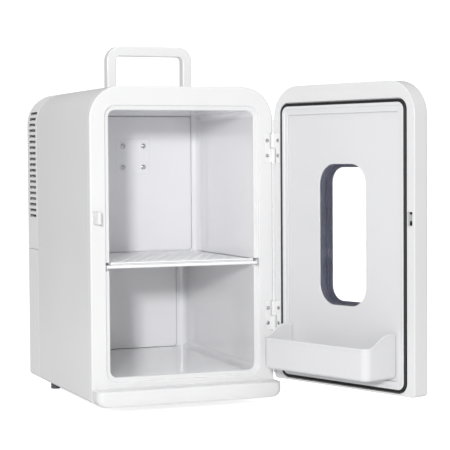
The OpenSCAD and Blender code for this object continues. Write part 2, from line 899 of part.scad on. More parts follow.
// The two pins that the handle turns on
module handle_pins() {
    color("silver") cabinet()
        for (side = [-1, 1])
            mirror([side < 0 ? 1 : 0, 0, 0])
                rod_x(pivot_y, pivot_z, pivot_r, island_hw - tray_t, tray_hw + tray_t);
}

// The upright carrying loop
module handle() {
    color("whitesmoke") cabinet() difference() {
        union() {
            along_y(pivot_y - leg_r, pivot_y + leg_r) difference() {
                union() {
                    for (side = [-1, 1])
                        translate([side * (handle_hw - handle_corner_r),
                                   handle_top_z - handle_corner_r])
                            circle(r = handle_corner_r);
                    translate([-handle_hw, pivot_z])
                        square([handle_w, handle_top_z - handle_corner_r - pivot_z]);
                    translate([handle_corner_r - handle_hw, handle_top_z - 2 * handle_corner_r])
                        square([handle_w - 2 * handle_corner_r, 2 * handle_corner_r]);
                }
                round_rect(handle_hw - handle_bar, pivot_z - 2 * leg_r,
                           handle_top_z - handle_bar - 0.7, handle_corner_r - handle_bar + 1, 1);
            }
            for (side = [-1, 1])
                rod_x(pivot_y, pivot_z, leg_r, side * (handle_hw - handle_bar / 2) - handle_bar / 2,
                      side * (handle_hw - handle_bar / 2) + handle_bar / 2);
        }
        rod_x(pivot_y, pivot_z, pivot_r + running_gap, -half_w, half_w);
    }
}

// ---- Shelf ---------------------------------------------------------------------

// The slotted plate with a turned-down front lip and a tongue along each side
module shelf() {
    plate_hw = mouth_hw - 1.2;
    tongue_hw = mouth_hw + groove_d - 1;
    rows = floor((shelf_d - 20) / slot_pitch_y);
    cols = floor((2 * plate_hw - 16) / slot_pitch_x);
    color("whitesmoke") cabinet() union() {
        translate([0, 0, shelf_z - shelf_plate_t]) linear_extrude(shelf_plate_t) difference() {
            translate([-plate_hw, shelf_front]) square([2 * plate_hw, shelf_d]);
            for (row = [0:rows - 1], col = [0:cols - 1])
                translate([(col - (cols - 1) / 2 + (row % 2) / 2 - 0.25) * slot_pitch_x,
                           shelf_front + 14 + row * slot_pitch_y])
                    square([shelf_slot_w, slot_l]);
        }
        for (side = [-1, 1])
            mirror([side < 0 ? 1 : 0, 0, 0])
                block([plate_hw - 6, shelf_front, groove_z0 + tongue_gap],
                      [tongue_hw, shelf_front + shelf_d, groove_z0 + tongue_gap + tongue_t]);
        block([-plate_hw, shelf_front, groove_z0 + tongue_gap + tongue_t - eps],
              [plate_hw, shelf_front + shelf_lip_t + 1, shelf_z + 1]);
        block([-tongue_hw, shelf_front - 1.5, groove_z0 + tongue_gap],
              [tongue_hw, shelf_front + shelf_lip_t, groove_z0 + tongue_gap + tongue_t]);
    }
}

// ---- Hinges and catch ----------------------------------------------------------

// One leaf plate; the knuckle half on side up (+1) or down (-1) reaches the pin
module leaf_plate(y0, up) {
    block([leaf_inner_x, y0, -leaf_h / 2], [leaf_free_x, y0 + leaf_t, leaf_h / 2]);
    translate([0, 0, up > 0 ? seam / 2 : -leaf_h / 2])
        block([leaf_free_x - eps, y0, 0], [hinge_x - 1.6, y0 + leaf_t, leaf_h / 2 - seam / 2]);
    translate([hinge_x, hinge_y, up > 0 ? seam / 2 : -leaf_h / 2])
        cylinder(r = knuckle_r, h = leaf_h / 2 - seam / 2);
}

// The bore for the pin and the two screw holes of a leaf
module leaf_holes() {
    translate([hinge_x, hinge_y, -leaf_h]) cylinder(r = hinge_pin_r + running_gap, h = 2 * leaf_h);
    for (side = [-1, 1])
        rod_y(leaf_screw_x, side * leaf_screw_pitch / 2, screw_shank_r + 0.2, -body_d, body_d);
}

// The two leaves that are screwed to the frame, with the lower knuckles
module hinge_leaves_frame() {
    color("white") cabinet()
        for (z = hinge_z)
            translate([0, 0, z]) difference() {
                leaf_plate(-leaf_proud, -1);
                leaf_holes();
            }
}

// The two leaves that are screwed to the door, with the upper knuckles
module hinge_leaves_door() {
    color("white") on_door()
        for (z = hinge_z)
            translate([0, 0, z]) difference() {
                leaf_plate(door_in - leaf_t + leaf_proud, 1);
                leaf_holes();
            }
}

// The two hinge pins
module hinge_pins() {
    color("silver") cabinet()
        for (z = hinge_z)
            translate([hinge_x, hinge_y, z - leaf_h / 2]) cylinder(r = hinge_pin_r, h = leaf_h);
}

// The screws of the frame's leaves
module hinge_screws_frame() {
    color("gray") cabinet()
        for (z = hinge_z, side = [-1, 1])
            pan_screw(leaf_screw_x, -leaf_proud, z + side * leaf_screw_pitch / 2, screw_head_r,
                      screw_head_t, screw_shank_r, screw_shank_l);
}

// The screws of the door's leaves, which point the other way
module hinge_screws_door() {
    color("gray") on_door()
        for (z = hinge_z, side = [-1, 1])
            translate([0, door_in + leaf_proud, 0]) mirror([0, 1, 0])
                pan_screw(leaf_screw_x, 0, z + side * leaf_screw_pitch / 2, screw_head_r,
                          screw_head_t, screw_shank_r, screw_shank_l);
}

// The tongue that holds the door shut
module catch_tongue() {
    x0 = catch_x - catch_w / 2;
    x1 = catch_x + catch_w / 2;
    color("white") cabinet() translate([0, 0, catch_z - catch_h / 2])
        linear_extrude(catch_h) polygon([
            [x0, catch_root], [x0, -catch_l * 0.35], [x0 + 1.2, -catch_l * 0.5],
            [x0, -catch_l * 0.66], [x0 + 1.6, -catch_l], [x1 - 1, -catch_l],
            [x1, -catch_l + 2], [x1, catch_root]
        ]);
}

// The socket in the door that takes the tongue
module catch_keeper() {
    color("white") on_door() difference() {
        block([catch_x - keeper_hw, door_in - keeper_d - keeper_wall, catch_z - keeper_hh],
              [catch_x + keeper_hw, door_in, catch_z + keeper_hh]);
        block([catch_x - keeper_slot_w / 2, door_in - keeper_d, catch_z - keeper_slot_h / 2],
              [catch_x + keeper_slot_w / 2, door_in + eps, catch_z + keeper_slot_h / 2]);
    }
}

// ---- Door ----------------------------------------------------------------------

// The outer shell of the door, with the rim round its inner face
module door_skin() {
    color("whitesmoke") on_door() difference() {
        along_y(door_out, door_in) door_outline();
        along_y(door_out + wall, door_in - flange_grip) door_outline(wall);
        along_y(door_in - 2 * flange_grip, door_in + eps)
            round_rect(gasket_hw + 0.3, gasket_z0 - 0.3, gasket_z1 + 0.3, gasket_r, gasket_r);
        along_y(door_out - eps, door_in + eps) window_outline();
        for (z = hinge_z) {
            translate([hinge_x, hinge_y, z - leaf_h / 2 - knuckle_gap])
                cylinder(r = knuckle_r + knuckle_gap, h = leaf_h + 2 * knuckle_gap);
            block([leaf_inner_x, door_in - leaf_t + leaf_proud, z - leaf_h / 2],
                  [hinge_x, door_in + eps, z + leaf_h / 2]);
            for (side = [-1, 1])
                rod_y(leaf_screw_x, z + side * leaf_screw_pitch / 2,
                      screw_shank_r + screw_hole_gap, door_in - 2 * flange_grip, door_in + eps);
        }
        block([catch_x - keeper_hw, door_in - 2 * flange_grip, catch_z - keeper_hh],
              [catch_x + keeper_hw, door_in + eps, catch_z + keeper_hh]);
    }
}

// The foam inside the door
module door_foam() {
    gap_hw = keeper_hw + foam_gap;
    gap_hh = keeper_hh + foam_gap;
    color("khaki") on_door() difference() {
        along_y(door_out + wall, door_in - flange_grip) door_outline(wall + foam_gap);
        along_y(liner_back, 0)
            round_rect(gasket_hw + 0.3, gasket_z0 - 0.3, gasket_z1 + 0.3, gasket_r, gasket_r);
        along_y(-body_d, 0) window_outline(pane_lap + foam_gap);
        block([catch_x - gap_hw, door_in - keeper_d - keeper_wall - foam_gap, catch_z - gap_hh],
              [catch_x + gap_hw, 0, catch_z + gap_hh]);
        for (z = hinge_z, side = [-1, 1])
            rod_y(leaf_screw_x, z + side * leaf_screw_pitch / 2, screw_shank_r + foam_gap,
                  door_in - screw_shank_l - 1, 0);
    }
}

// A rounded ring or field of the door liner, moved inwards by inset from the gasket
module liner_field(inset, r) {
    round_rect(gasket_hw - inset, gasket_z0 + inset, gasket_z1 - inset, r, r);
}

// The inner panel of the door: gasket seat, raised ridge, ledge and sunk field
module door_liner() {
    color("ghostwhite") on_door() difference() {
        union() {
            along_y(liner_back, door_in - gasket_seat) liner_field(0, gasket_r);
            along_y(liner_back, door_in) liner_field(gasket_w + 0.2, gasket_r - gasket_w);
            along_y(liner_back, door_in + ridge_proud) difference() {
                liner_field(gasket_w + 0.2, gasket_r - gasket_w);
                liner_field(gasket_w + ridge_w, gasket_r - gasket_w - 3);
            }
        }
        along_y(door_in - panel_recess, body_d)
            round_rect(panel_hw, panel_z0, panel_z1, 2, 4);
        along_y(-body_d, body_d) window_outline();
    }
}

// The black seal round the inner panel
module door_gasket() {
    color([0.13, 0.13, 0.13]) on_door() along_y(door_in - gasket_seat, door_in + gasket_proud)
        difference() {
            liner_field(0, gasket_r);
            liner_field(gasket_w, gasket_r - gasket_w);
        }
}

// The pane at the door's outer face
module window_outer_pane() {
    color([0.8, 0.9, 0.95, 0.4]) on_door()
        along_y(door_out + wall, door_out + wall + pane_t) window_outline(pane_lap);
}

// The dark frame that keeps the panes apart
module window_spacer() {
    color("slategray") on_door() along_y(door_out + wall + pane_t, liner_back - pane_t)
        difference() {
            window_outline(pane_lap);
            window_outline(0.3);
        }
}

// The pane behind the inner panel
module window_inner_pane() {
    color([0.8, 0.9, 0.95, 0.4]) on_door()
        along_y(liner_back - pane_t, liner_back) window_outline(pane_lap);
}

// Height of the bin's side wall at a distance out from the door's inner face
function bin_top(out) =
    let (t = min(max((out - bin_flat) / (bin_d - bin_flat - 4), 0), 1))
    bin_side_z - (bin_side_z - bin_front_z) * (1 - cos(180 * t)) / 2;

// Plan of the bin, moved inwards by inset
module bin_plan(inset) {
    front_y = door_in + bin_d - inset;
    r = bin_r - inset;
    for (side = [-1, 1])
        translate([side * (bin_hw - bin_r), front_y - r]) circle(r = r);
    translate([-bin_hw + inset, door_in]) square([2 * (bin_hw - inset), bin_d - inset - r]);
    translate([-bin_hw + bin_r, door_in]) square([2 * (bin_hw - bin_r), bin_d - inset]);
}

// The open bin at the foot of the door, whose sides sweep up towards the panel
module door_bin() {
    color("whitesmoke") on_door() intersection() {
        difference() {
            translate([0, 0, bin_z0]) linear_extrude(bin_side_z - bin_z0) bin_plan(0);
            translate([0, 0, bin_z0 + bin_wall]) linear_extrude(body_h)
                union() {
                    bin_plan(bin_wall);
                    translate([-bin_hw + bin_wall, door_in - 1])
                        square([2 * (bin_hw - bin_wall), 2]);
                }
        }
        along_x(-bin_hw, bin_hw) polygon(concat(
            [[door_in, bin_z0], [door_in + bin_d, bin_z0]],
            [for (i = [bin_steps:-1:0]) [door_in + bin_d * i / bin_steps,
                                         bin_top(bin_d * i / bin_steps)]]
        ));
    }
}

outer_shell();
front_frame();
plinth();
inner_liner();
lower_back_panel();
cold_plate();
plate_screws();
foam_insulation();
rear_divider();
cold_block();
peltier_module();
module_seal();
heat_sink();
heat_sink_screws();
fan_frame();
fan_impeller();
power_board();
ac_inlet();
dc_inlet();
inlet_pins();
rocker_frame();
mode_rocker();
rear_cover();
rear_base_cover();
cover_screws();
feet();
handle_tray();
handle_pins();
handle();
shelf();
catch_tongue();
hinge_leaves_frame();
hinge_screws_frame();
hinge_pins();
hinge_leaves_door();
hinge_screws_door();
door_skin();
door_foam();
door_liner();
door_gasket();
window_outer_pane();
window_spacer();
window_inner_pane();
catch_keeper();
door_bin();
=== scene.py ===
"""Looks of a thermoelectric mini fridge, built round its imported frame.

The cabinet stands on z = 0 with its front towards -Y. The door's pieces are drawn as
if the door were shut and then swung open about the hinge line, as the frame has it.
"""

import json
import logging
import math
from collections.abc import Callable, Sequence
from dataclasses import dataclass, field
from enum import Enum

import bmesh
import bpy
from mathutils import Matrix, Vector


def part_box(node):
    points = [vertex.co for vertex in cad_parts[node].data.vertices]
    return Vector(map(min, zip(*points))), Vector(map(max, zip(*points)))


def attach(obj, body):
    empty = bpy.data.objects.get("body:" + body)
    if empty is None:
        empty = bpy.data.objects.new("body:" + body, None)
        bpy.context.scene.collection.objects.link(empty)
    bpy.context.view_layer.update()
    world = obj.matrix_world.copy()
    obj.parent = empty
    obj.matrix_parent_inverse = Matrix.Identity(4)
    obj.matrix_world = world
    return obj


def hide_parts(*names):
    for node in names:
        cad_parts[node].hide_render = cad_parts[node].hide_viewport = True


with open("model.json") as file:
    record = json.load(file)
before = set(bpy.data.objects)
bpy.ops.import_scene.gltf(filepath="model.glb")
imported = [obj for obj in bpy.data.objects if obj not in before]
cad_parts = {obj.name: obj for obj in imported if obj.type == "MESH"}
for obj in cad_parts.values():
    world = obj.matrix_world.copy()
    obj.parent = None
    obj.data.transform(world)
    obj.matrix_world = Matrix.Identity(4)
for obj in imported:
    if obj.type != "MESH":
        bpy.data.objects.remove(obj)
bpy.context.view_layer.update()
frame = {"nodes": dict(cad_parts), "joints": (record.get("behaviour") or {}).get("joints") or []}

log = logging.getLogger("mini_fridge")

MM = 0.001
MERGE = 0.01 * MM
Pair = tuple[float, float]


# ---- Shapes ---------------------------------------------------------------------


class Plane(Enum):
    """The plane that an outline is drawn in, and so the way it is lofted."""

    FRONT = "x and z, lofted along y"
    PLAN = "x and y, lofted along z"
    SIDE = "y and z, lofted along x"

    def lift(self, u: float, v: float, w: float) -> Vector:
        """Turns outline coordinates and a place along the loft into a point.

        Args:
            u: First outline coordinate.
            v: Second outline coordinate.
            w: Place along the loft.

        Returns:
            The point in the frame.
        """
        if self is Plane.FRONT:
            return Vector((u, w, v))
        if self is Plane.PLAN:
            return Vector((u, v, w))
        return Vector((w, u, v))


@dataclass(frozen=True)
class Outline:
    """A rectangle with its own radius at each corner.

    The radii run from the lower right corner round to the lower left one.
    """

    u0: float
    v0: float
    u1: float
    v1: float
    radii: tuple[float, float, float, float]
    steps: int = 10

    def inset(self, d: float) -> "Outline":
        """Moves the outline's sides.

        Args:
            d: How far they move inwards, or outwards where it is negative.

        Returns:
            The new outline, whose corners keep their centres while they can.
        """
        least = 0.2 * MM
        radii = tuple(max(r - d, least) for r in self.radii)
        return Outline(self.u0 + d, self.v0 + d, self.u1 - d, self.v1 - d, radii, self.steps)

    def points(self) -> list[Pair]:
        """Draws the outline.

        Returns:
            Its points, anticlockwise from the lower right corner.
        """
        low_right, top_right, top_left, low_left = self.radii
        corners = (
            (self.u1 - low_right, self.v0 + low_right, low_right, -90),
            (self.u1 - top_right, self.v1 - top_right, top_right, 0),
            (self.u0 + top_left, self.v1 - top_left, top_left, 90),
            (self.u0 + low_left, self.v0 + low_left, low_left, 180),
        )
        found = []
        for cu, cv, radius, start in corners:
            for step in range(self.steps + 1):
                turn = math.radians(start + 90 * step / self.steps)
                found.append((cu + radius * math.cos(turn), cv + radius * math.sin(turn)))
        return found


Station = tuple[Outline, float]


def rounded(u0: float, v0: float, u1: float, v1: float, radius: float, steps: int = 6) -> Outline:
    """Returns an outline with one radius at all four corners."""
    return Outline(u0, v0, u1, v1, (radius,) * 4, steps)


def arched(u0: float, v0: float, u1: float, v1: float, low: float, top: float) -> Outline:
    """Returns an outline with one radius at its lower and one at its upper corners."""
    return Outline(u0, v0, u1, v1, (low, top, top, low), 12)


def rim(outline: Outline, face: float, toward: float, radius: float, steps: int = 4) -> list[Station]:
    """Stations that turn from an outline's side on to the face beside it.

    Args:
        outline: The outline of the side wall.
        face: Where the face lies along the loft.
        toward: +1 if the side wall runs to higher values from the face, else -1.
        radius: Radius of the turn; negative where the outline is a hole in the face.
        steps: How many parts the turn has.

    Returns:
        The stations, from the side wall to the face.
    """
    found = []
    for step in range(steps + 1):
        turn = math.radians(90 * step / steps)
        found.append((outline.inset(radius * (1 - math.cos(turn))),
                      face + toward * abs(radius) * (1 - math.sin(turn))))
    return found


def to_object(name: str, mesh_data: bmesh.types.BMesh) -> bpy.types.Object:
    """Makes a linked object of a bmesh, with its normals turned outwards.

    Args:
        name: Name of the new object.
        mesh_data: The bmesh, which is used up.

    Returns:
        The new object.
    """
    bmesh.ops.recalc_face_normals(mesh_data, faces=mesh_data.faces)
    mesh = bpy.data.meshes.new(name)
    mesh_data.to_mesh(mesh)
    mesh_data.free()
    made = bpy.data.objects.new(name, mesh)
    bpy.context.scene.collection.objects.link(made)
    return made


def skin(name: str, rings: Sequence[Sequence[Vector]], closed: bool = False) -> bpy.types.Object:
    """Covers a row of rings of points with faces.

    Args:
        name: Name of the new object.
        rings: Rings of equally many points.
        closed: True if the last ring joins the first, as on a hollow frame.

    Returns:
        The new object.
    """
    made = bmesh.new()
    rows = [[made.verts.new(point) for point in ring] for ring in rings]
    following = rows[1:] + rows[:1] if closed else rows[1:]
    for low, high in zip(rows, following):
        for i in range(len(low)):
            j = (i + 1) % len(low)
            made.faces.new((low[i], low[j], high[j], high[i]))
    if not closed:
        made.faces.new(rows[0])
        made.faces.new(rows[-1])
    return to_object(name, made)


def loft(name: str, plane: Plane, stations: Sequence[Station], closed: bool = False) -> bpy.types.Object:
    """Lofts a solid through outlines.

    Args:
        name: Name of the new object.
        plane: The plane of the outlines.
        stations: Each outline with its place along the loft.
        closed: True for a ring, whose last outline joins the first.

    Returns:
        The new object.
    """
    rings = [[plane.lift(u, v, w) for u, v in outline.points()] for outline, w in stations]
    return skin(name, rings, closed)


def pebble(name: str, plane: Plane, outline: Outline, w0: float, w1: float,
           radius: float) -> bpy.types.Object:
    """Lofts a plate or block whose edges are rounded on both faces."""
    return loft(name, plane, rim(outline, w0, 1, radius)[::-1] + rim(outline, w1, -1, radius))


def slug(name: str, lo: Sequence[float], hi: Sequence[float], radius: float = 0.3 * MM) -> bpy.types.Object:
    """Makes a block with rounded upright edges, for cutting and for small parts."""
    outline = rounded(lo[0], lo[1], hi[0], hi[1], radius, 3)
    return loft(name, Plane.PLAN, [(outline, lo[2]), (outline, hi[2])])


def turned(name: str, profile: Sequence[Pair], centre: Vector, along: Vector,
           steps: int = 32) -> bpy.types.Object:
    """Turns a profile round an axis.

    Args:
        name: Name of the new object.
        profile: Pairs of radius and height along the axis.
        centre: Where the height is 0.
        along: Direction of the axis.
        steps: How many parts a full turn has.

    Returns:
        The new object.
    """
    spin = along.normalized().to_track_quat("Z", "Y").to_matrix()
    rings = []
    for radius, height in profile:
        rings.append([
            centre + spin @ Vector((radius * math.cos(math.tau * i / steps),
                                    radius * math.sin(math.tau * i / steps), height))
            for i in range(steps)
        ])
    return skin(name, rings)


def joined(name: str, parts: Sequence[bpy.types.Object]) -> bpy.types.Object:
    """Joins objects that sit in the frame.

    Args:
        name: Name of the new object.
        parts: The objects, which are used up.

    Returns:
        The new object.
    """
    made = bmesh.new()
    for part in parts:
        made.from_mesh(part.data)
        bpy.data.objects.remove(part)
    mesh = bpy.data.meshes.new(name)
    made.to_mesh(mesh)
    made.free()
    whole = bpy.data.objects.new(name, mesh)
    bpy.context.scene.collection.objects.link(whole)
    return whole


def carved(target: bpy.types.Object, cutters: Sequence[bpy.types.Object],
           keep: bool = False) -> bpy.types.Object:
    """Cuts tools out of a solid, or keeps only what lies inside them.

    Args:
        target: The solid, which is changed.
        cutters: The tools, which are used up. They don't overlap each other.
        keep: True to keep what is inside the tools.

    Returns:
        The target.
    """
    tool = joined("cutting_tool", cutters)
    change = target.modifiers.new("cut", "BOOLEAN")
    change.operation = "INTERSECT" if keep else "DIFFERENCE"
    change.solver = "EXACT"
    change.object = tool
    bpy.context.view_layer.update()
    result = target.evaluated_get(bpy.context.evaluated_depsgraph_get())
    target.data = bpy.data.meshes.new_from_object(result)
    target.modifiers.remove(change)
    bpy.data.objects.remove(tool)
    return target


def refined(name: str, node: str, width: float, segments: int = 2) -> bpy.types.Object:
    """Copies a CAD node's shape and softens its edges as a mould or a tool leaves them.

    Args:
        name: Name of the new object.
        node: The CAD node.
        width: Width of the softened edges.
        segments: How many parts an edge's turn has.

    Returns:
        The new object.
    """
    made = bmesh.new()
    made.from_mesh(frame["nodes"][node].data)
    bmesh.ops.remove_doubles(made, verts=made.verts, dist=MERGE)
    bmesh.ops.dissolve_limit(made, angle_limit=math.radians(1), verts=made.verts, edges=made.edges)
    hard = [e for e in made.edges if e.is_manifold and e.calc_face_angle() > math.radians(32)]
    bmesh.ops.bevel(made, geom=hard, offset=width, segments=segments, profile=0.5,
                    affect="EDGES", clamp_overlap=True)
    return to_object(name, made)


# ---- Finishes -------------------------------------------------------------------


@dataclass
class Graph:
    """A node tree that is being wired."""

    tree: bpy.types.NodeTree

    def add(self, kind: str, inputs: dict[str, object] | None = None, **settings: object) -> bpy.types.Node:
        """Adds a node.

        Args:
            kind: Blender's name for the node.
            inputs: Values or output sockets for the node's inputs, by name or number.
            **settings: The node's own properties.

        Returns:
            The node.
        """
        node = self.tree.nodes.new(kind)
        for key, value in settings.items():
            setattr(node, key, value)
        for key, value in (inputs or {}).items():
            socket = node.inputs[key]
            if isinstance(value, bpy.types.NodeSocket):
                self.tree.links.new(value, socket)
            else:
                socket.default_value = value
        return node

    def maths(self, operation: str, a: object, b: object) -> bpy.types.NodeSocket:
        """Adds a Math node and returns its result."""
        return self.add("ShaderNodeMath", {0: a, 1: b}, operation=operation).outputs[0]

    def spread(self, value: object, low: object, high: object, to_low: object = 0.0,
               to_high: object = 1.0) -> bpy.types.NodeSocket:
        """Maps a value from one range on to another and returns the result."""
        return self.add("ShaderNodeMapRange", {"Value": value, "From Min": low, "From Max": high,
                                               "To Min": to_low, "To Max": to_high}).outputs[0]

    def blend(self, share: object, under: object, over: object) -> bpy.types.NodeSocket:
        """Adds a Mix node for two colours and returns its result."""
        factor, first, second, mixed = 0, 6, 7, 2
        return self.add("ShaderNodeMix", {factor: share, first: under, second: over},
                        data_type="RGBA").outputs[mixed]


class Effect(Enum):
    """The shared surface effects, each a node group."""

    TONE = "tone_drift"
    GRAIN = "moulded_grain"
    DUST = "settled_dust"
    WEAR = "edge_wear"
    HAIRLINES = "hairlines"

    def group(self) -> bpy.types.NodeTree:
        """Returns the effect's node group, built the first time."""
        return bpy.data.node_groups.get(self.value) or EFFECT_MAKERS[self](self.value)


def new_group(name: str, inputs: dict[str, tuple[str, object]],
              outputs: dict[str, str]) -> tuple[Graph, bpy.types.Node, bpy.types.Node]:
    """Makes an empty shader group.

    Args:
        name: The group's name.
        inputs: Each input's kind and value, by name.
        outputs: Each output's kind, by name.

    Returns:
        The group's graph, its input node and its output node.
    """
    tree = bpy.data.node_groups.new(name, "ShaderNodeTree")
    for label, (kind, value) in inputs.items():
        socket = tree.interface.new_socket(name=label, in_out="INPUT", socket_type="NodeSocket" + kind)
        socket.default_value = value
    for label, kind in outputs.items():
        tree.interface.new_socket(name=label, in_out="OUTPUT", socket_type="NodeSocket" + kind)
    graph = Graph(tree)
    return graph, graph.add("NodeGroupInput"), graph.add("NodeGroupOutput")


def make_tone(name: str) -> bpy.types.NodeTree:
    """Builds the group that drifts a colour lighter and darker over a surface.

    Args:
        name: The group's name.

    Returns:
        The group's tree.
    """
    graph, given, result = new_group(
        name, {"Color": ("Color", (1, 1, 1, 1)), "Scale": ("Float", 6.0), "Drift": ("Float", 0.02)},
        {"Color": "Color"})
    place = graph.add("ShaderNodeTexCoord").outputs["Object"]
    cloud = graph.add("ShaderNodeTexNoise", {"Vector": place, "Scale": given.outputs["Scale"], "Detail": 4.0})
    low = graph.maths("SUBTRACT", 1.0, given.outputs["Drift"])
    high = graph.maths("ADD", 1.0, given.outputs["Drift"])
    gain = graph.spread(cloud.outputs[0], 0.3, 0.7, low, high)
    scaled = graph.add("ShaderNodeVectorMath", {0: given.outputs["Color"], "Scale": gain}, operation="SCALE")
    graph.tree.links.new(scaled.outputs[0], result.inputs["Color"])
    return graph.tree


def make_grain(name: str) -> bpy.types.NodeTree:
    """Builds the group that gives the fine height of a moulded or cast skin.

    Args:
        name: The group's name.

    Returns:
        The group's tree.
    """
    graph, given, result = new_group(name, {"Scale": ("Float", 900.0)}, {"Height": "Float"})
    place = graph.add("ShaderNodeTexCoord").outputs["Object"]
    fine = graph.add("ShaderNodeTexNoise", {"Vector": place, "Scale": given.outputs["Scale"], "Detail": 2.0})
    cells = graph.add("ShaderNodeTexVoronoi", {"Vector": place,
                                               "Scale": graph.maths("MULTIPLY", given.outputs["Scale"], 0.6)})
    height = graph.maths("ADD", fine.outputs[0], graph.maths("MULTIPLY", cells.outputs["Distance"], 0.5))
    graph.tree.links.new(height, result.inputs["Height"])
    return graph.tree


def make_dust(name: str) -> bpy.types.NodeTree:
    """Builds the group that masks where dust settles on faces that look up.

    Args:
        name: The group's name.

    Returns:
        The group's tree.
    """
    graph, given, result = new_group(name, {"Amount": ("Float", 0.2)}, {"Mask": "Float"})
    normal = graph.add("ShaderNodeNewGeometry").outputs["Normal"]
    upward = graph.add("ShaderNodeSeparateXYZ", {0: normal}).outputs["Z"]
    place = graph.add("ShaderNodeTexCoord").outputs["Object"]
    specks = graph.add("ShaderNodeTexNoise", {"Vector": place, "Scale": 140.0, "Detail": 5.0})
    flat = graph.spread(upward, 0.55, 1.0)
    patch = graph.spread(specks.outputs[0], 0.42, 0.72)
    mask = graph.maths("MULTIPLY", graph.maths("MULTIPLY", flat, patch), given.outputs["Amount"])
    graph.tree.links.new(mask, result.inputs["Mask"])
    return graph.tree


def make_wear(name: str) -> bpy.types.NodeTree:
    """Builds the group that masks the edges that hands and cloths rub.

    Args:
        name: The group's name.

    Returns:
        The group's tree.
    """
    graph, given, result = new_group(name, {"Amount": ("Float", 0.3)}, {"Mask": "Float"})
    sharp = graph.add("ShaderNodeNewGeometry").outputs["Pointiness"]
    place = graph.add("ShaderNodeTexCoord").outputs["Object"]
    broken = graph.add("ShaderNodeTexNoise", {"Vector": place, "Scale": 90.0, "Detail": 4.0})
    edge = graph.spread(sharp, 0.52, 0.62)
    mask = graph.maths("MULTIPLY", graph.maths("MULTIPLY", edge, broken.outputs[0]), given.outputs["Amount"])
    graph.tree.links.new(mask, result.inputs["Mask"])
    return graph.tree


def make_hairlines(name: str) -> bpy.types.NodeTree:
    """Builds the group that masks faint straight scratches and brush marks.

    Args:
        name: The group's name.

    Returns:
        The group's tree.
    """
    graph, given, result = new_group(
        name, {"Stretch": ("Vector", (1.0, 1.0, 30.0)), "Scale": ("Float", 40.0), "Amount": ("Float", 0.2)},
        {"Mask": "Float"})
    place = graph.add("ShaderNodeTexCoord").outputs["Object"]
    drawn = graph.add("ShaderNodeVectorMath", {0: place, 1: given.outputs["Stretch"]}, operation="MULTIPLY")
    lines = graph.add("ShaderNodeTexNoise", {"Vector": drawn.outputs[0], "Scale": given.outputs["Scale"],
                                             "Detail": 3.0})
    mask = graph.maths("MULTIPLY", graph.spread(lines.outputs[0], 0.5, 0.7), given.outputs["Amount"])
    graph.tree.links.new(mask, result.inputs["Mask"])
    return graph.tree


EFFECT_MAKERS: dict[Effect, Callable[[str], bpy.types.NodeTree]] = {
    Effect.TONE: make_tone,
    Effect.GRAIN: make_grain,
    Effect.DUST: make_dust,
    Effect.WEAR: make_wear,
    Effect.HAIRLINES: make_hairlines,
}


DUST_COLOUR = (0.62, 0.6, 0.57, 1.0)
DUST_ROUGHENS = 0.4
LINES_ROUGHEN = 0.5
LINES_SINK = 0.6
WEAR_KEEPS = 0.86
WEAR_LIFTS = 0.08


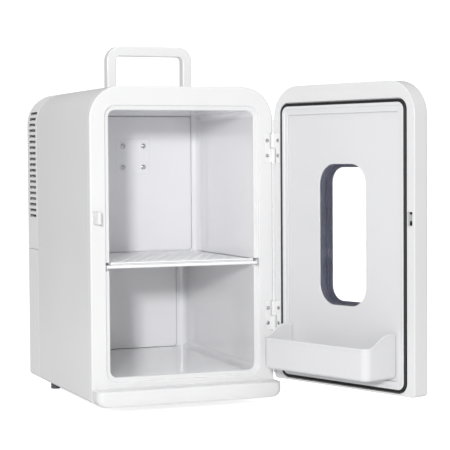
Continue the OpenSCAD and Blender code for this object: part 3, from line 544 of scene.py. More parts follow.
@dataclass(frozen=True)
class Finish:
    """What every finish has: a name, the record's slot, a colour and how it takes light."""

    label: str
    slot: str
    colour: tuple[float, float, float]
    roughness: float = 0.35
    metallic: float = 0.0
    coat: float = 0.0
    coat_roughness: float = 0.1
    specular: float = 0.5
    drift: float = 0.015
    drift_scale: float = 7.0
    grain_scale: float = 900.0
    grain_depth: float = 0.04
    dust: float = 0.1
    wear: float = 0.2
    hairlines: float = 0.015
    stretch: tuple[float, float, float] = (1.0, 1.0, 14.0)

    def material(self) -> bpy.types.Material:
        """Returns the finish's material, built the first time."""
        return bpy.data.materials.get(self.label) or self.build()

    def effect(self, graph: Graph, effect: Effect, inputs: dict[str, object]) -> bpy.types.NodeSocket:
        """Places a shared effect in a material.

        Args:
            graph: The material's graph.
            effect: The effect.
            inputs: Values or output sockets for the effect's inputs, by name.

        Returns:
            The effect's output.
        """
        node = graph.add("ShaderNodeGroup", node_tree=effect.group())
        for key, value in inputs.items():
            if isinstance(value, bpy.types.NodeSocket):
                graph.tree.links.new(value, node.inputs[key])
            else:
                node.inputs[key].default_value = value
        return node.outputs[0]

    def build(self) -> bpy.types.Material:
        """Builds the node material.

        Returns:
            A material with drifting colour, settled dust, rubbed edges and fine grain.
        """
        material = bpy.data.materials.new(self.label)
        material.use_nodes = True
        graph = Graph(material.node_tree)
        surface = material.node_tree.nodes["Principled BSDF"]
        tone = self.effect(graph, Effect.TONE, {"Color": (*self.colour, 1.0), "Scale": self.drift_scale,
                                                "Drift": self.drift})
        dust = self.effect(graph, Effect.DUST, {"Amount": self.dust})
        wear = self.effect(graph, Effect.WEAR, {"Amount": self.wear})
        lines = self.effect(graph, Effect.HAIRLINES, {"Amount": self.hairlines, "Stretch": self.stretch})
        dusty = graph.blend(dust, tone, DUST_COLOUR)
        rubbed = tuple(min(1.0, channel * WEAR_KEEPS + WEAR_LIFTS) for channel in self.colour)
        worn = graph.blend(wear, dusty, (*rubbed, 1.0))
        graph.tree.links.new(worn, surface.inputs["Base Color"])
        rough = graph.maths("ADD", graph.maths("MULTIPLY", dust, DUST_ROUGHENS), self.roughness)
        rough = graph.maths("ADD", rough, graph.maths("MULTIPLY", lines, LINES_ROUGHEN))
        graph.tree.links.new(rough, surface.inputs["Roughness"])
        grain = self.effect(graph, Effect.GRAIN, {"Scale": self.grain_scale})
        relief = graph.maths("SUBTRACT", grain, graph.maths("MULTIPLY", lines, LINES_SINK))
        bump = graph.add("ShaderNodeBump", {"Strength": self.grain_depth, "Distance": 0.1 * MM,
                                            "Height": relief})
        graph.tree.links.new(bump.outputs[0], surface.inputs["Normal"])
        surface.inputs["Metallic"].default_value = self.metallic
        surface.inputs["Coat Weight"].default_value = self.coat
        surface.inputs["Coat Roughness"].default_value = self.coat_roughness
        surface.inputs["Specular IOR Level"].default_value = self.specular
        return material


@dataclass(frozen=True)
class ClearPane(Finish):
    """Clear polished glass with the faintest smears."""

    def build(self) -> bpy.types.Material:
        """Builds the glass.

        Returns:
            A clear material whose roughness carries faint wiping marks.
        """
        material = bpy.data.materials.new(self.label)
        material.use_nodes = True
        graph = Graph(material.node_tree)
        surface = material.node_tree.nodes["Principled BSDF"]
        lines = self.effect(graph, Effect.HAIRLINES, {"Amount": self.hairlines, "Stretch": self.stretch})
        tone = self.effect(graph, Effect.TONE, {"Color": (*self.colour, 1.0), "Scale": self.drift_scale,
                                                "Drift": self.drift})
        graph.tree.links.new(tone, surface.inputs["Base Color"])
        graph.tree.links.new(graph.maths("ADD", lines, self.roughness), surface.inputs["Roughness"])
        surface.inputs["Transmission Weight"].default_value = 1.0
        surface.inputs["IOR"].default_value = 1.45
        return material


@dataclass(frozen=True)
class Finishes:
    """Every finish on the fridge."""

    gloss: Finish = Finish("gloss_white_plastic", "white_gloss", (0.83, 0.83, 0.835), 0.22, coat=0.35,
                           coat_roughness=0.06, grain_depth=0.02, grain_scale=500.0)
    # Painted shade: the door's skin, bead and keeper take the same white gloss made darker, standing in for
    # the weaker light on the swung-open door.
    door_gloss_painted_shade: Finish = Finish("door_white_plastic_painted_shade", "white_gloss", (0.78, 0.78, 0.785), 0.26, coat=0.3,
                                coat_roughness=0.08, grain_depth=0.02, grain_scale=500.0)
    satin: Finish = Finish("satin_white_plastic", "white_satin", (0.87, 0.87, 0.88), 0.42, grain_depth=0.12,
                           grain_scale=1400.0)
    # Painted light: the shelf takes the satin white of the rear covers made lighter, standing in for the
    # light that falls on it from above the front.
    shelf: Finish = Finish("shelf_white_plastic_painted_light", "white_satin", (0.93, 0.93, 0.94), 0.35, grain_depth=0.06,
                           grain_scale=1400.0, dust=0.0)
    # Painted light: the compartment's liner is made whiter than the door's liner of the same plastic,
    # standing in for more light inside the compartment.
    liner: Finish = Finish("liner_white_plastic_painted_light", "liner_white", (0.9, 0.9, 0.92), 0.22, coat=0.9,
                           coat_roughness=0.05, grain_depth=0.015, dust=0.03, wear=0.1)
    # Painted shade: the door's panel and bin take the liner's white made darker, standing in for the weaker
    # light on the swung-open door.
    door_liner: Finish = Finish("door_liner_plastic_painted_shade", "liner_white", (0.755, 0.755, 0.77), 0.34, coat=0.12,
                                coat_roughness=0.2, specular=0.35, grain_depth=0.015, dust=0.03, wear=0.1)
    plate: Finish = Finish("coated_plate", "plate_white", (0.89, 0.89, 0.91), 0.3, grain_depth=0.05,
                           grain_scale=2200.0, dust=0.02, wear=0.15, hairlines=0.12)
    bare: Finish = Finish("bare_aluminium", "aluminium", (0.72, 0.72, 0.73), 0.34, metallic=1.0,
                          grain_depth=0.1, dust=0.4, hairlines=0.35, stretch=(1.0, 1.0, 40.0))
    zinc: Finish = Finish("zinc_plated_steel", "screw_steel", (0.55, 0.55, 0.57), 0.25, metallic=1.0,
                          grain_depth=0.08, grain_scale=2600.0, wear=0.5, drift=0.06, drift_scale=120.0)
    enamel: Finish = Finish("hinge_powder_coat", "hinge_white", (0.85, 0.85, 0.85), 0.4, grain_depth=0.2,
                            grain_scale=1800.0, wear=0.5)
    sheet: Finish = Finish("galvanised_sheet", "divider_metal", (0.6, 0.61, 0.63), 0.4, metallic=1.0,
                           drift=0.12, drift_scale=70.0, dust=0.3)
    foam: Finish = Finish("rigid_foam", "foam", (0.78, 0.7, 0.45), 0.95, grain_scale=420.0, grain_depth=0.9,
                          drift=0.08)
    seal: Finish = Finish("gasket_rubber_black", "gasket_rubber", (0.012, 0.012, 0.013), 0.5,
                          grain_depth=0.15, grain_scale=1600.0, dust=0.03, wear=0.12, drift=0.1)
    foot: Finish = Finish("foot_rubber_grey", "foot_rubber", (0.13, 0.13, 0.15), 0.6, grain_depth=0.4,
                          dust=0.3)
    ring: Finish = Finish("module_ring_foam", "seal_foam", (0.06, 0.06, 0.06), 0.9, grain_depth=0.7)
    ceramic: Finish = Finish("module_ceramic", "ceramic", (0.82, 0.82, 0.78), 0.5, grain_depth=0.2)
    fan: Finish = Finish("fan_black_plastic", "fan_plastic", (0.02, 0.02, 0.021), 0.45, dust=0.5,
                         grain_depth=0.2)
    board: Finish = Finish("board_green", "board", (0.02, 0.16, 0.06), 0.35, drift=0.15, drift_scale=160.0)
    socket: Finish = Finish("socket_black_plastic", "socket_black", (0.018, 0.018, 0.018), 0.38,
                            grain_depth=0.25, grain_scale=1800.0)
    spacer: Finish = Finish("spacer_slate", "spacer_blue", (0.071, 0.08, 0.134), 0.35, metallic=0.3,
                            drift=0.25, drift_scale=26.0, grain_depth=0.08)
    bead: Finish = Finish("spacer_bead_grey", "spacer_blue", (0.2, 0.21, 0.26), 0.5, drift=0.5,
                          drift_scale=260.0)
    pane: Finish = ClearPane("clear_pane", "window_glass", (1.0, 1.0, 1.0), 0.0, drift=0.003,
                             hairlines=0.01)


FINISHES = Finishes()


def settle(piece: bpy.types.Object, body: str, finish: Finish, nodes: Sequence[str] = (),
           angle: float = 34.0) -> bpy.types.Object:
    """Smooths a finished piece, dresses it and hands it to the frame.

    Args:
        piece: The piece, in place.
        body: The body it rides on.
        finish: Its finish.
        nodes: The CAD nodes it stands for.
        angle: Edges that turn by more than this many degrees stay crisp.

    Returns:
        The piece.
    """
    for polygon in piece.data.polygons:
        polygon.use_smooth = True
    piece.data.set_sharp_from_angle(angle=math.radians(angle))
    even = piece.modifiers.new("even_normals", "WEIGHTED_NORMAL")
    even.keep_sharp = True
    piece.data.materials.clear()
    piece.data.materials.append(finish.material())
    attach(piece, body)
    if nodes:
        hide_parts(*nodes)
    log.info("%s rides on %s, finish %s, stands for %s", piece.name, body, finish.label, list(nodes))
    return piece


def dress(node: str, finish: Finish) -> None:
    """Gives a CAD node that keeps its own shape its finish.

    Args:
        node: The CAD node.
        finish: Its finish.
    """
    kept = frame["nodes"][node]
    kept.data.materials.clear()
    kept.data.materials.append(finish.material())
    log.info("%s keeps its CAD shape, finish %s", node, finish.label)


# ---- Frame readings -------------------------------------------------------------


@dataclass(frozen=True)
class Span:
    """A box: its lowest and highest corners."""

    lo: Vector
    hi: Vector

    @classmethod
    def of_points(cls, places: Sequence[Vector]) -> "Span":
        """Returns the box of some points."""
        return cls(Vector([min(place[axis] for place in places) for axis in range(3)]),
                   Vector([max(place[axis] for place in places) for axis in range(3)]))

    @property
    def mid(self) -> Vector:
        """The box's centre."""
        return (self.lo + self.hi) / 2

    @property
    def size(self) -> Vector:
        """The box's sides."""
        return self.hi - self.lo


def span(node: str) -> Span:
    """Returns the box of a CAD node at rest."""
    return Span(*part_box(node))


def loose_parts(node: str) -> list[Span]:
    """Finds the separate solids in a CAD node.

    Args:
        node: The CAD node.

    Returns:
        The box of each solid, in an order that is the same each time.
    """
    made = bmesh.new()
    made.from_mesh(frame["nodes"][node].data)
    bmesh.ops.remove_doubles(made, verts=made.verts, dist=MERGE)
    left = set(made.verts)
    found = []
    while left:
        stack = [left.pop()]
        members = list(stack)
        while stack:
            for edge in stack.pop().link_edges:
                for vert in edge.verts:
                    if vert in left:
                        left.remove(vert)
                        stack.append(vert)
                        members.append(vert)
        found.append(Span.of_points([vert.co.copy() for vert in members]))
    made.free()
    return sorted(found, key=lambda part: tuple(part.lo))


@dataclass(frozen=True)
class Swing:
    """The door's hinge line and how far the door stands open at rest."""

    pivot: Vector
    angle: float

    @classmethod
    def read(cls) -> "Swing":
        """Reads the hinge from the frame's joints."""
        joint = next(j for j in frame["joints"] if j["name"] == "door_hinge")
        return cls(Vector(joint["pos_m"]), -math.radians(joint["range_deg"][0]))

    def matrix(self, sign: int) -> Matrix:
        """Returns the move that opens the door (+1) or shuts it (-1)."""
        there = Matrix.Translation(self.pivot)
        return there @ Matrix.Rotation(sign * self.angle, 4, "Z") @ there.inverted()

    def shut_span(self, node: str) -> Span:
        """Returns the box of a door node as if the door were shut."""
        shut = self.matrix(-1)
        return Span.of_points([shut @ vert.co for vert in frame["nodes"][node].data.vertices])

    def open(self, piece: bpy.types.Object) -> bpy.types.Object:
        """Swings a piece that was drawn shut to where the frame's door stands."""
        piece.data.transform(self.matrix(1))
        return piece


# ---- Screws ---------------------------------------------------------------------


@dataclass(frozen=True)
class PanScrew:
    """A pan-head screw with a cross recess, seen from its head."""

    radius: float
    height: float
    recess: float = 0.62
    bar: float = 0.13
    steps: int = 28

    def build(self, seat: Vector, out: Vector) -> bpy.types.Object:
        """Builds one screw head.

        Args:
            seat: Centre of the face that the head sits on.
            out: Direction in which the head stands out.

        Returns:
            The screw head, with its cross cut in.
        """
        r, h = self.radius, self.height
        profile = [(r * 0.6, -h), (r, 0.0), (r, h * 0.3)]
        for step in range(1, 6):
            turn = math.radians(90 * step / 6)
            profile.append((r * (0.12 + 0.88 * math.cos(turn)), h * (0.3 + 0.7 * math.sin(turn))))
        profile.append((r * 0.1, h))
        head = turned("screw_head", profile, seat, out, self.steps)
        across = out.cross(Vector((0.3, 0.2, 1.0))).normalized()
        other = out.cross(across).normalized()
        wide, deep = r * self.recess, r * self.bar
        bars = []
        for u, v in ((across, other), (other, across)):
            corners = [u * su * wide + v * sv * deep for su, sv in ((1, 1), (-1, 1), (-1, -1), (1, -1))]
            low = [seat + out * (h * 0.35) + c * 0.7 for c in corners]
            high = [seat + out * (h * 2) + c for c in corners]
            bars.append([low, high])
        for index, rings in enumerate(bars):
            head = carved(head, [skin(f"cross_bar_{index}", rings)])
        return head


PLATE_SCREW = PanScrew(3.5 * MM, 1.9 * MM)
COVER_SCREW = PanScrew(3.0 * MM, 0.9 * MM)
HINGE_SCREW = PanScrew(2.5 * MM, 1.0 * MM)


def screw_group(name: str, screw: PanScrew, seats: Sequence[Vector], out: Vector) -> bpy.types.Object:
    """Builds the screws at some seats as one object."""
    return joined(name, [screw.build(seat, out) for seat in seats])


# ---- Hinge knuckles -------------------------------------------------------------


@dataclass(frozen=True)
class Knuckles:
    """Tools that free the hinges' knuckles, drawn with the door shut.

    A gap's tools stand clear of each other, because tools that touch spoil the cut.
    """

    clearance: float = 3.8 * MM
    split: float = 0.45 * MM
    side_gap: float = 1.3 * MM
    leaf_side: float = 4.4 * MM
    outer_side: float = 5 * MM
    leaf_reach: float = 30 * MM
    before: float = 20 * MM
    behind: float = 60 * MM
    tools_apart: float = 0.05 * MM

    @staticmethod
    def centres() -> list[Vector]:
        """Returns the middle of each hinge on the hinge line."""
        line = Swing.read().pivot
        return [Vector((line.x, line.y, leaf.mid.z)) for leaf in loose_parts("hinge_leaves_frame")]

    @classmethod
    def pockets(cls) -> list[bpy.types.Object]:
        """Makes the upright round pockets that the knuckles turn in.

        Returns:
            One tool for each hinge.
        """
        tall = loose_parts("hinge_leaves_frame")[0].size.z / 2 + 0.5 * MM
        return [turned("knuckle_pocket", [(cls.clearance, -tall), (cls.clearance, tall)], centre,
                       Vector((0, 0, 1)), 28) for centre in cls.centres()]

    @classmethod
    def gaps(cls, up: int) -> list[bpy.types.Object]:
        """Makes the gap between the knuckles and the one beside the other leaf's knuckle.

        Args:
            up: +1 if the other leaf's knuckle is the upper one, else -1.

        Returns:
            The tools for one pair of leaves.
        """
        found = []
        for at in cls.centres():
            ends = sorted((at.z + up * (cls.split + cls.tools_apart), at.z + up * cls.leaf_reach))
            edge = at.x - cls.leaf_side
            y0, y1 = at.y - cls.before, at.y + cls.behind
            found.append(slug("knuckle_split", (edge, y0, at.z - cls.split),
                              (at.x + cls.outer_side, y1, at.z + cls.split), 0.1 * MM))
            found.append(slug("leaf_gap", (edge - cls.side_gap + 0.6 * MM, y0, ends[0]),
                              (edge + 0.7 * MM, y1, ends[1]), 0.1 * MM))
        return found


# ---- Cabinet --------------------------------------------------------------------


@dataclass
class Cabinet:
    """The standing cabinet: shell, frame, plinth, compartment and rear covers."""

    corner: float = 42 * MM
    base_corner: float = 5 * MM
    wall: float = 2.2 * MM
    front_edge: float = 2.4 * MM
    rear_edge: float = 7.0 * MM
    mouth_half: float = 98 * MM
    mouth_low: float = 45 * MM
    mouth_top: float = 381.5 * MM
    mouth_corner: float = 9 * MM
    recess_grow: float = 5.8 * MM
    recess_depth: float = 3.5 * MM
    recess_corner: float = 14 * MM
    liner_wall: float = 2 * MM
    floor_rise: float = 3.5 * MM
    ceiling_drop: float = 2.5 * MM
    step_height: float = 180 * MM
    groove_height: float = 7.2 * MM
    groove_drop: float = 3.4 * MM
    leaf_seat: float = 0.9 * MM
    back_corner: float = 11 * MM
    seam_width: float = 1.5 * MM
    seam_depth: float = 1.8 * MM
    vent_rows: int = 19
    vent_pitch: float = 7.97 * MM
    vent_low: float = 241.5 * MM
    vent_height: float = 4 * MM
    vent_corner: float = 1.6 * MM
    vent_half: float = 19 * MM
    column_pitch: float = 44 * MM
    pocket_half: float = 70 * MM
    pocket_low: float = 44 * MM
    pocket_top: float = 94 * MM
    emboss_half: float = 25.5 * MM
    body: str = "cabinet"
    front: float = field(init=False)
    outline: Outline = field(init=False)
    mouth: Outline = field(init=False)

    def __post_init__(self) -> None:
        """Reads the cabinet's outline from the frame."""
        ring = span("front_frame")
        self.front = ring.lo.y
        self.outline = arched(ring.lo.x, ring.lo.z, ring.hi.x, ring.hi.z, self.base_corner, self.corner)
        self.mouth = arched(-self.mouth_half, self.mouth_low, self.mouth_half, self.mouth_top,
                            self.mouth_corner, self.mouth_corner)

    def front_frame(self) -> None:
        """Builds the ring round the mouth, with its stepped recess and its notches."""
        ring = span("front_frame")
        recess = arched(-self.mouth_half - self.recess_grow, self.mouth_low - self.recess_grow,
                        self.mouth_half + self.recess_grow, self.mouth_top + self.recess_grow,
                        self.recess_corner, self.recess_corner)
        ledge = self.front + self.recess_depth
        stations = [(self.outline, ring.hi.y)]
        stations += rim(self.outline, self.front, 1, self.front_edge, 5)
        stations += rim(recess, self.front, 1, -1.2 * MM)[::-1]
        stations += [(recess, ledge - 0.6 * MM), (recess.inset(0.6 * MM), ledge)]
        stations += rim(self.mouth, ledge, 1, -1.6 * MM)[::-1]
        stations += [(self.mouth, ring.hi.y)]
        piece = loft("front_frame_moulding", Plane.FRONT, stations, closed=True)
        shelf = span("shelf")
        tongue = span("catch_tongue")
        low = shelf.lo.z - self.groove_drop
        high = shelf.lo.z + self.groove_height + 0.4 * MM
        cutters = []
        for side in (-1, 1):
            reach = sorted((side * (self.mouth_half - 6 * MM), side * (shelf.hi.x + 1.8 * MM)))
            cutters.append(slug("groove_mouth", (reach[0], self.front - MM, low),
                                (reach[1], ring.hi.y + MM, high), 0.8 * MM))
        cutters.append(slug("catch_pocket",
                            (tongue.lo.x - 1.2 * MM, self.front - MM, tongue.lo.z - 1.0 * MM),
                            (tongue.hi.x + 3.2 * MM, self.front + 1.1 * MM, tongue.hi.z + 1.0 * MM)))
        for leaf in loose_parts("hinge_leaves_frame"):
            cutters.append(slug("leaf_seat", (leaf.lo.x - 0.1 * MM, self.front - MM, leaf.lo.z - 0.1 * MM),
                                (self.outline.u1 + MM, self.front + self.leaf_seat, leaf.hi.z + 0.1 * MM),
                                0.2 * MM))
        piece = carved(piece, Knuckles.pockets())
        settle(carved(piece, cutters), self.body, FINISHES.gloss, ["front_frame"])

    def shell(self) -> None:
        """Builds the sleeve, with the opening that the handle's tray sits in."""
        sleeve = span("outer_shell")
        tray = span("handle_tray")
        inner = self.outline.inset(self.wall)
        piece = loft("outer_shell_moulding", Plane.FRONT, [
            (self.outline.inset(0.3 * MM), sleeve.lo.y), (self.outline, sleeve.lo.y + 0.3 * MM),
            (self.outline, sleeve.hi.y - 0.3 * MM), (self.outline.inset(0.3 * MM), sleeve.hi.y),
            (inner, sleeve.hi.y), (inner, sleeve.lo.y)], closed=True)
        edge = 2 * MM
        opening = rounded(tray.lo.x + edge, tray.lo.y + edge, tray.hi.x - edge, tray.hi.y - edge, 1.5 * MM)
        top = sleeve.hi.z
        cutter = loft("tray_opening", Plane.PLAN, [
            (opening, top - 10 * MM), (opening, top - 1 * MM), (opening.inset(-1 * MM), top + 0.01 * MM),
            (opening.inset(-1 * MM), top + 5 * MM)])
        settle(carved(piece, [cutter]), self.body, FINISHES.gloss, ["outer_shell"])

    def plinth(self) -> None:
        """Builds the soft-edged lip below the door."""
        lip = span("plinth")
        corner, low, low_face, top = 9 * MM, 10 * MM, 2 * MM, 2.6 * MM
        low_steps, top_steps = 10, 6
        stations = []
        for step in range(low_steps + 1):
            turn = math.radians(90 * step / low_steps)
            share = 1 - math.sin(turn)
            stations.append((self.plinth_plan(corner, low * share, low_face * share),
                             lip.lo.z + low * (1 - math.cos(turn))))
        for step in range(top_steps + 1):
            turn = math.radians(90 * step / top_steps)
            inset = top * (1 - math.cos(turn))
            stations.append((self.plinth_plan(corner, inset, inset), lip.hi.z - top * (1 - math.sin(turn))))
        settle(loft("plinth_moulding", Plane.PLAN, stations), self.body, FINISHES.gloss, ["plinth"], 60)

    @staticmethod
    def plinth_plan(corner: float, side: float, face: float) -> Outline:
        """Returns the plinth's outline from above, drawn in at its sides and its face.

        Args:
            corner: Radius of its two front corners.
            side: How far the sides are drawn in.
            face: How far the face is drawn in.

        Returns:
            The outline.
        """
        lip = span("plinth")
        back = 0.5 * MM
        return Outline(lip.lo.x + side, lip.lo.y + face, lip.hi.x - side, lip.hi.y,
                       (corner, back, back, corner), 12)

    def cavity(self, name: str, depth: float, low: float, high: float) -> bpy.types.Object:
        """Makes the tool that clears one level of the compartment.

        Args:
            name: Name of the tool.
            depth: Place of its back wall.
            low: Height of its lower face, or the floor's where it is below that.
            high: Height of its upper face, or the ceiling's where it is above that.

        Returns:
            The tool, whose floor climbs and whose ceiling falls towards the back.
        """
        start = span("inner_liner").lo.y - MM
        run = span("inner_liner").hi.y - start
        stations = []
        for share in (0.0, 1.0):
            place = start + (depth - start) * share
            tilt = (place - start) / run
            z0 = max(low, self.mouth_low + self.floor_rise * tilt)
            z1 = min(high, self.mouth_top - self.ceiling_drop * tilt)
            r_low = self.mouth_corner if low < self.mouth_low else 0.5 * MM
            r_top = self.mouth_corner if high > self.mouth_top else 0.5 * MM
            stations.append((arched(-self.mouth_half, z0, self.mouth_half, z1, r_low, r_top), place))
        back = stations.pop()[0]
        room = loft(name, Plane.FRONT, stations + rim(back, depth, -1, 1.5 * MM))
        sharp, round_back = 0.2 * MM, self.back_corner
        plan = Outline(-self.mouth_half, start - MM, self.mouth_half, depth,
                       (sharp, round_back, round_back, sharp))
        return carved(room, [loft("back_corners", Plane.PLAN, [(plan, -1.0), (plan, 1.0)])], keep=True)

    def seam(self, node: str, depth: float) -> bpy.types.Object:
        """Makes the tool for the narrow dark seam that runs round a plate in the back wall.

        Args:
            node: The plate's CAD node.
            depth: Place of the back wall.

        Returns:
            The tool, a thin ring.
        """
        plate = self.plate_outline(node)
        wide, deep = plate.inset(-self.seam_width), plate.inset(0.6 * MM)
        return loft("plate_seam", Plane.FRONT, [
            (wide, depth - MM), (wide, depth + self.seam_depth), (deep, depth + self.seam_depth),
            (deep, depth - MM)], closed=True)

    def plate_outline(self, node: str) -> Outline:
        """Draws a plate in the back wall, rounder at its lower corners.

        Args:
            node: The plate's CAD node.

        Returns:
            The outline, carried up to the ceiling where the plate nearly meets it.
        """
        plate = span(node)
        ceiling = self.mouth_top - self.ceiling_drop
        top = ceiling + 0.2 * MM if plate.hi.z > ceiling - 8 * MM else plate.hi.z
        return arched(plate.lo.x, plate.lo.z, plate.hi.x, top, 6 * MM, 2 * MM)

    def liner(self) -> None:
        """Builds the tub of the compartment, with its step and its shelf grooves."""
        tub = span("inner_liner")
        shelf = span("shelf")
        upper_back = span("cold_plate").hi.y
        lower_back = span("lower_back_panel").hi.y
        wall = self.liner_wall
        flange = self.mouth.inset(-self.recess_grow - 4 * MM)
        side = self.mouth.inset(-8 * MM)
        outer = loft("inner_liner_moulding", Plane.FRONT, [
            (flange, tub.lo.y), (flange, tub.lo.y + wall), (side, tub.lo.y + wall + 0.1 * MM),
            (side, tub.hi.y)])
        piece = carved(outer, [self.cavity("upper_level", upper_back, self.step_height - 0.5 * MM, 1.0)])
        piece = carved(piece, [self.cavity("lower_level", lower_back, 0.0, self.step_height)])
        piece = carved(piece, [self.seam("cold_plate", upper_back),
                               self.seam("lower_back_panel", lower_back)])
        for sign in (-1, 1):
            reach = sorted((sign * (self.mouth_half - 4 * MM), sign * (shelf.hi.x + MM)))
            groove = slug("groove", (reach[0], tub.lo.y - MM, shelf.lo.z - 0.4 * MM),
                          (reach[1], upper_back - wall, shelf.lo.z + self.groove_height), 0.6 * MM)
            piece = carved(piece, [groove])
        settle(piece, self.body, FINISHES.liner, ["inner_liner"])

    def back_plates(self) -> None:
        """Builds the cold plate with its embossed square, and the lower back panel."""
        plate = span("cold_plate")
        screws = span("plate_screws")
        sheet = self.plate_outline("cold_plate")
        half = self.emboss_half
        square = rounded(-half, screws.mid.z - half, half, screws.mid.z + half, 3 * MM, sheet.steps)
        face = plate.lo.y + 0.8 * MM
        stations = [(sheet, plate.hi.y)]
        stations += rim(sheet, face, 1, 0.6 * MM)
        stations += [(square.inset(d * MM), face - h * MM) for d, h in ((0.0, 0.0), (0.5, 0.25), (1.5, 0.7))]
        stations += [(square.inset(d * MM), plate.lo.y + h * MM) for d, h in
                     ((2.2, 0.0), (5.0, 0.0), (6.0, 0.35))]
        settle(loft("cold_plate_sheet", Plane.FRONT, stations), self.body, FINISHES.plate, ["cold_plate"])
        seats = [Vector((part.mid.x, plate.lo.y + 0.3 * MM, part.mid.z))
                 for part in loose_parts("plate_screws")]
        heads = screw_group("plate_screw_heads", PLATE_SCREW, seats, Vector((0, -1, 0)))
        settle(heads, self.body, FINISHES.zinc, ["plate_screws"])
        panel = span("lower_back_panel")
        flat = self.plate_outline("lower_back_panel")
        settle(pebble("lower_back_panel_moulding", Plane.FRONT, flat, panel.lo.y, panel.hi.y, 0.5 * MM),
               self.body, FINISHES.liner, ["lower_back_panel"])

    def cover_blank(self, name: str, z0: float, z1: float) -> bpy.types.Object:
        """Makes the rear covers' shell between two heights, before its openings.

        Args:
            name: Name of the new object.
            z0: Height of its lower edge.
            z1: Height of its upper edge.

        Returns:
            The shell.
        """
        cover = span("rear_cover")
        inner = self.outline.inset(self.wall)
        soft = self.rear_edge
        stations = [(self.outline.inset(0.3 * MM), cover.lo.y), (self.outline, cover.lo.y + 0.3 * MM)]
        stations += rim(self.outline, cover.hi.y, -1, soft, 7)
        outside = loft(name, Plane.FRONT, stations)
        hollow = loft("cover_hollow", Plane.FRONT, [
            (inner, cover.lo.y - MM), (inner, cover.hi.y - soft), (inner.inset(soft - self.wall),
                                                                   cover.hi.y - self.wall)])
        piece = carved(outside, [hollow])
        keep = slug("cover_height", (-1, cover.lo.y - MM, z0), (1, cover.hi.y + MM, z1))
        return carved(piece, [keep], keep=True)

    def vent_cutters(self) -> list[bpy.types.Object]:
        """Makes the tools for the slots: three columns behind and one on each side.

        Returns:
            The tools, none of which meet.
        """
        cover = span("rear_cover")
        half = self.vent_height / 2
        side_slot = (cover.lo.y + 7 * MM, cover.hi.y - 10 * MM)
        found = []
        for row in range(self.vent_rows):
            z = self.vent_low + row * self.vent_pitch
            for sign in (-1, 1):
                reach = sorted((sign * (cover.hi.x - 22 * MM), sign * (cover.hi.x + 5 * MM)))
                slot = rounded(side_slot[0], z - half, side_slot[1], z + half, self.vent_corner, 4)
                found.append(loft("side_vent", Plane.SIDE, [(slot, reach[0]), (slot, reach[1])]))
            for column in (-1, 0, 1):
                x = column * self.column_pitch
                slot = rounded(x - self.vent_half, z - half, x + self.vent_half, z + half,
                               self.vent_corner, 4)
                found.append(loft("rear_vent", Plane.FRONT, [(slot, cover.hi.y - 3 * self.wall),
                                                             (slot, cover.hi.y + MM)]))
        return found

    def rear_covers(self) -> None:
        """Builds the vented upper cover, the lower cover with its pocket, and the screws."""
        upper = span("rear_cover")
        lower = span("rear_base_cover")
        screws = loose_parts("cover_screws")
        wells = {True: [], False: []}
        for part in screws:
            well = turned("screw_well", [(1.8 * MM, -6 * MM), (3.5 * MM, -1.3 * MM), (3.5 * MM, 2 * MM)],
                          Vector((part.mid.x, upper.hi.y, part.mid.z)), Vector((0, 1, 0)), 24)
            wells[part.mid.z > upper.lo.z].append(well)
        top = carved(self.cover_blank("rear_cover_moulding", upper.lo.z, upper.hi.z + MM),
                     self.vent_cutters() + wells[True])
        settle(top, self.body, FINISHES.satin, ["rear_cover"])
        base = self.cover_blank("rear_base_cover_moulding", lower.lo.z - MM, lower.hi.z)
        floor = span("ac_inlet").hi.y - 1.6 * MM
        pocket = rounded(-self.pocket_half, self.pocket_low, self.pocket_half, self.pocket_top, 3 * MM)
        base = carved(base, [loft("pocket_hole", Plane.FRONT, [(pocket, floor), (pocket, lower.hi.y + MM)])]
                      + wells[False])
        settle(base, self.body, FINISHES.satin, ["rear_base_cover"])
        tray = loft("socket_pocket", Plane.FRONT, [
            (pocket.inset(-self.wall), floor - self.wall), (pocket.inset(-self.wall), lower.hi.y - 0.6 * MM),
            (pocket.inset(-0.2 * MM), lower.hi.y - 0.1 * MM), (pocket, lower.hi.y - 0.6 * MM),
            (pocket, floor + 1.5 * MM), (pocket.inset(1.5 * MM), floor)])
        settle(tray, self.body, FINISHES.satin)
        seats = [Vector((part.mid.x, part.hi.y - 1.0 * MM, part.mid.z)) for part in screws]
        heads = screw_group("cover_screw_heads", COVER_SCREW, seats, Vector((0, 1, 0)))
        settle(heads, self.body, FINISHES.zinc, ["cover_screws"])

    def feet(self) -> None:
        """Builds the ribbed rubber feet."""
        made = []
        for part in loose_parts("feet"):
            tall = span("outer_shell").lo.z - part.lo.z
            radius = part.size.x / 2
            profile = [(radius * 0.3, 0.6 * MM), (radius * 0.62, 0.0), (radius * 0.86, 0.0),
                       (radius * 0.92, 0.8 * MM)]
            for rib in range(3):
                z = tall * (0.25 + 0.22 * rib)
                profile += [(radius * 0.95, z), (radius * 0.88, z + 0.5 * MM), (radius * 0.88, z + 1.2 * MM),
                            (radius * 0.97, z + 1.7 * MM)]
            profile += [(radius, tall)]
            made.append(turned("foot", profile, Vector((part.mid.x, part.mid.y, part.lo.z)),
                               Vector((0, 0, 1))))
        settle(joined("rubber_feet", made), self.body, FINISHES.foot, ["feet"])

    def catch_and_hinges(self) -> None:
        """Builds the tongue, the frame's hinge leaves and their screws."""
        settle(refined("catch_tongue_moulding", "catch_tongue", 0.7 * MM, 3), self.body, FINISHES.gloss,
               ["catch_tongue"])
        leaves = carved(refined("frame_hinge_leaves", "hinge_leaves_frame", 0.25 * MM), Knuckles.gaps(1))
        settle(leaves, self.body, FINISHES.enamel, ["hinge_leaves_frame"])
        seats = [Vector((part.mid.x, part.lo.y + 0.8 * MM, part.mid.z))
                 for part in loose_parts("hinge_screws_frame")]
        heads = screw_group("frame_hinge_screw_heads", HINGE_SCREW, seats, Vector((0, -1, 0)))
        settle(heads, self.body, FINISHES.zinc, ["hinge_screws_frame"])
        dress("hinge_pins", FINISHES.zinc)

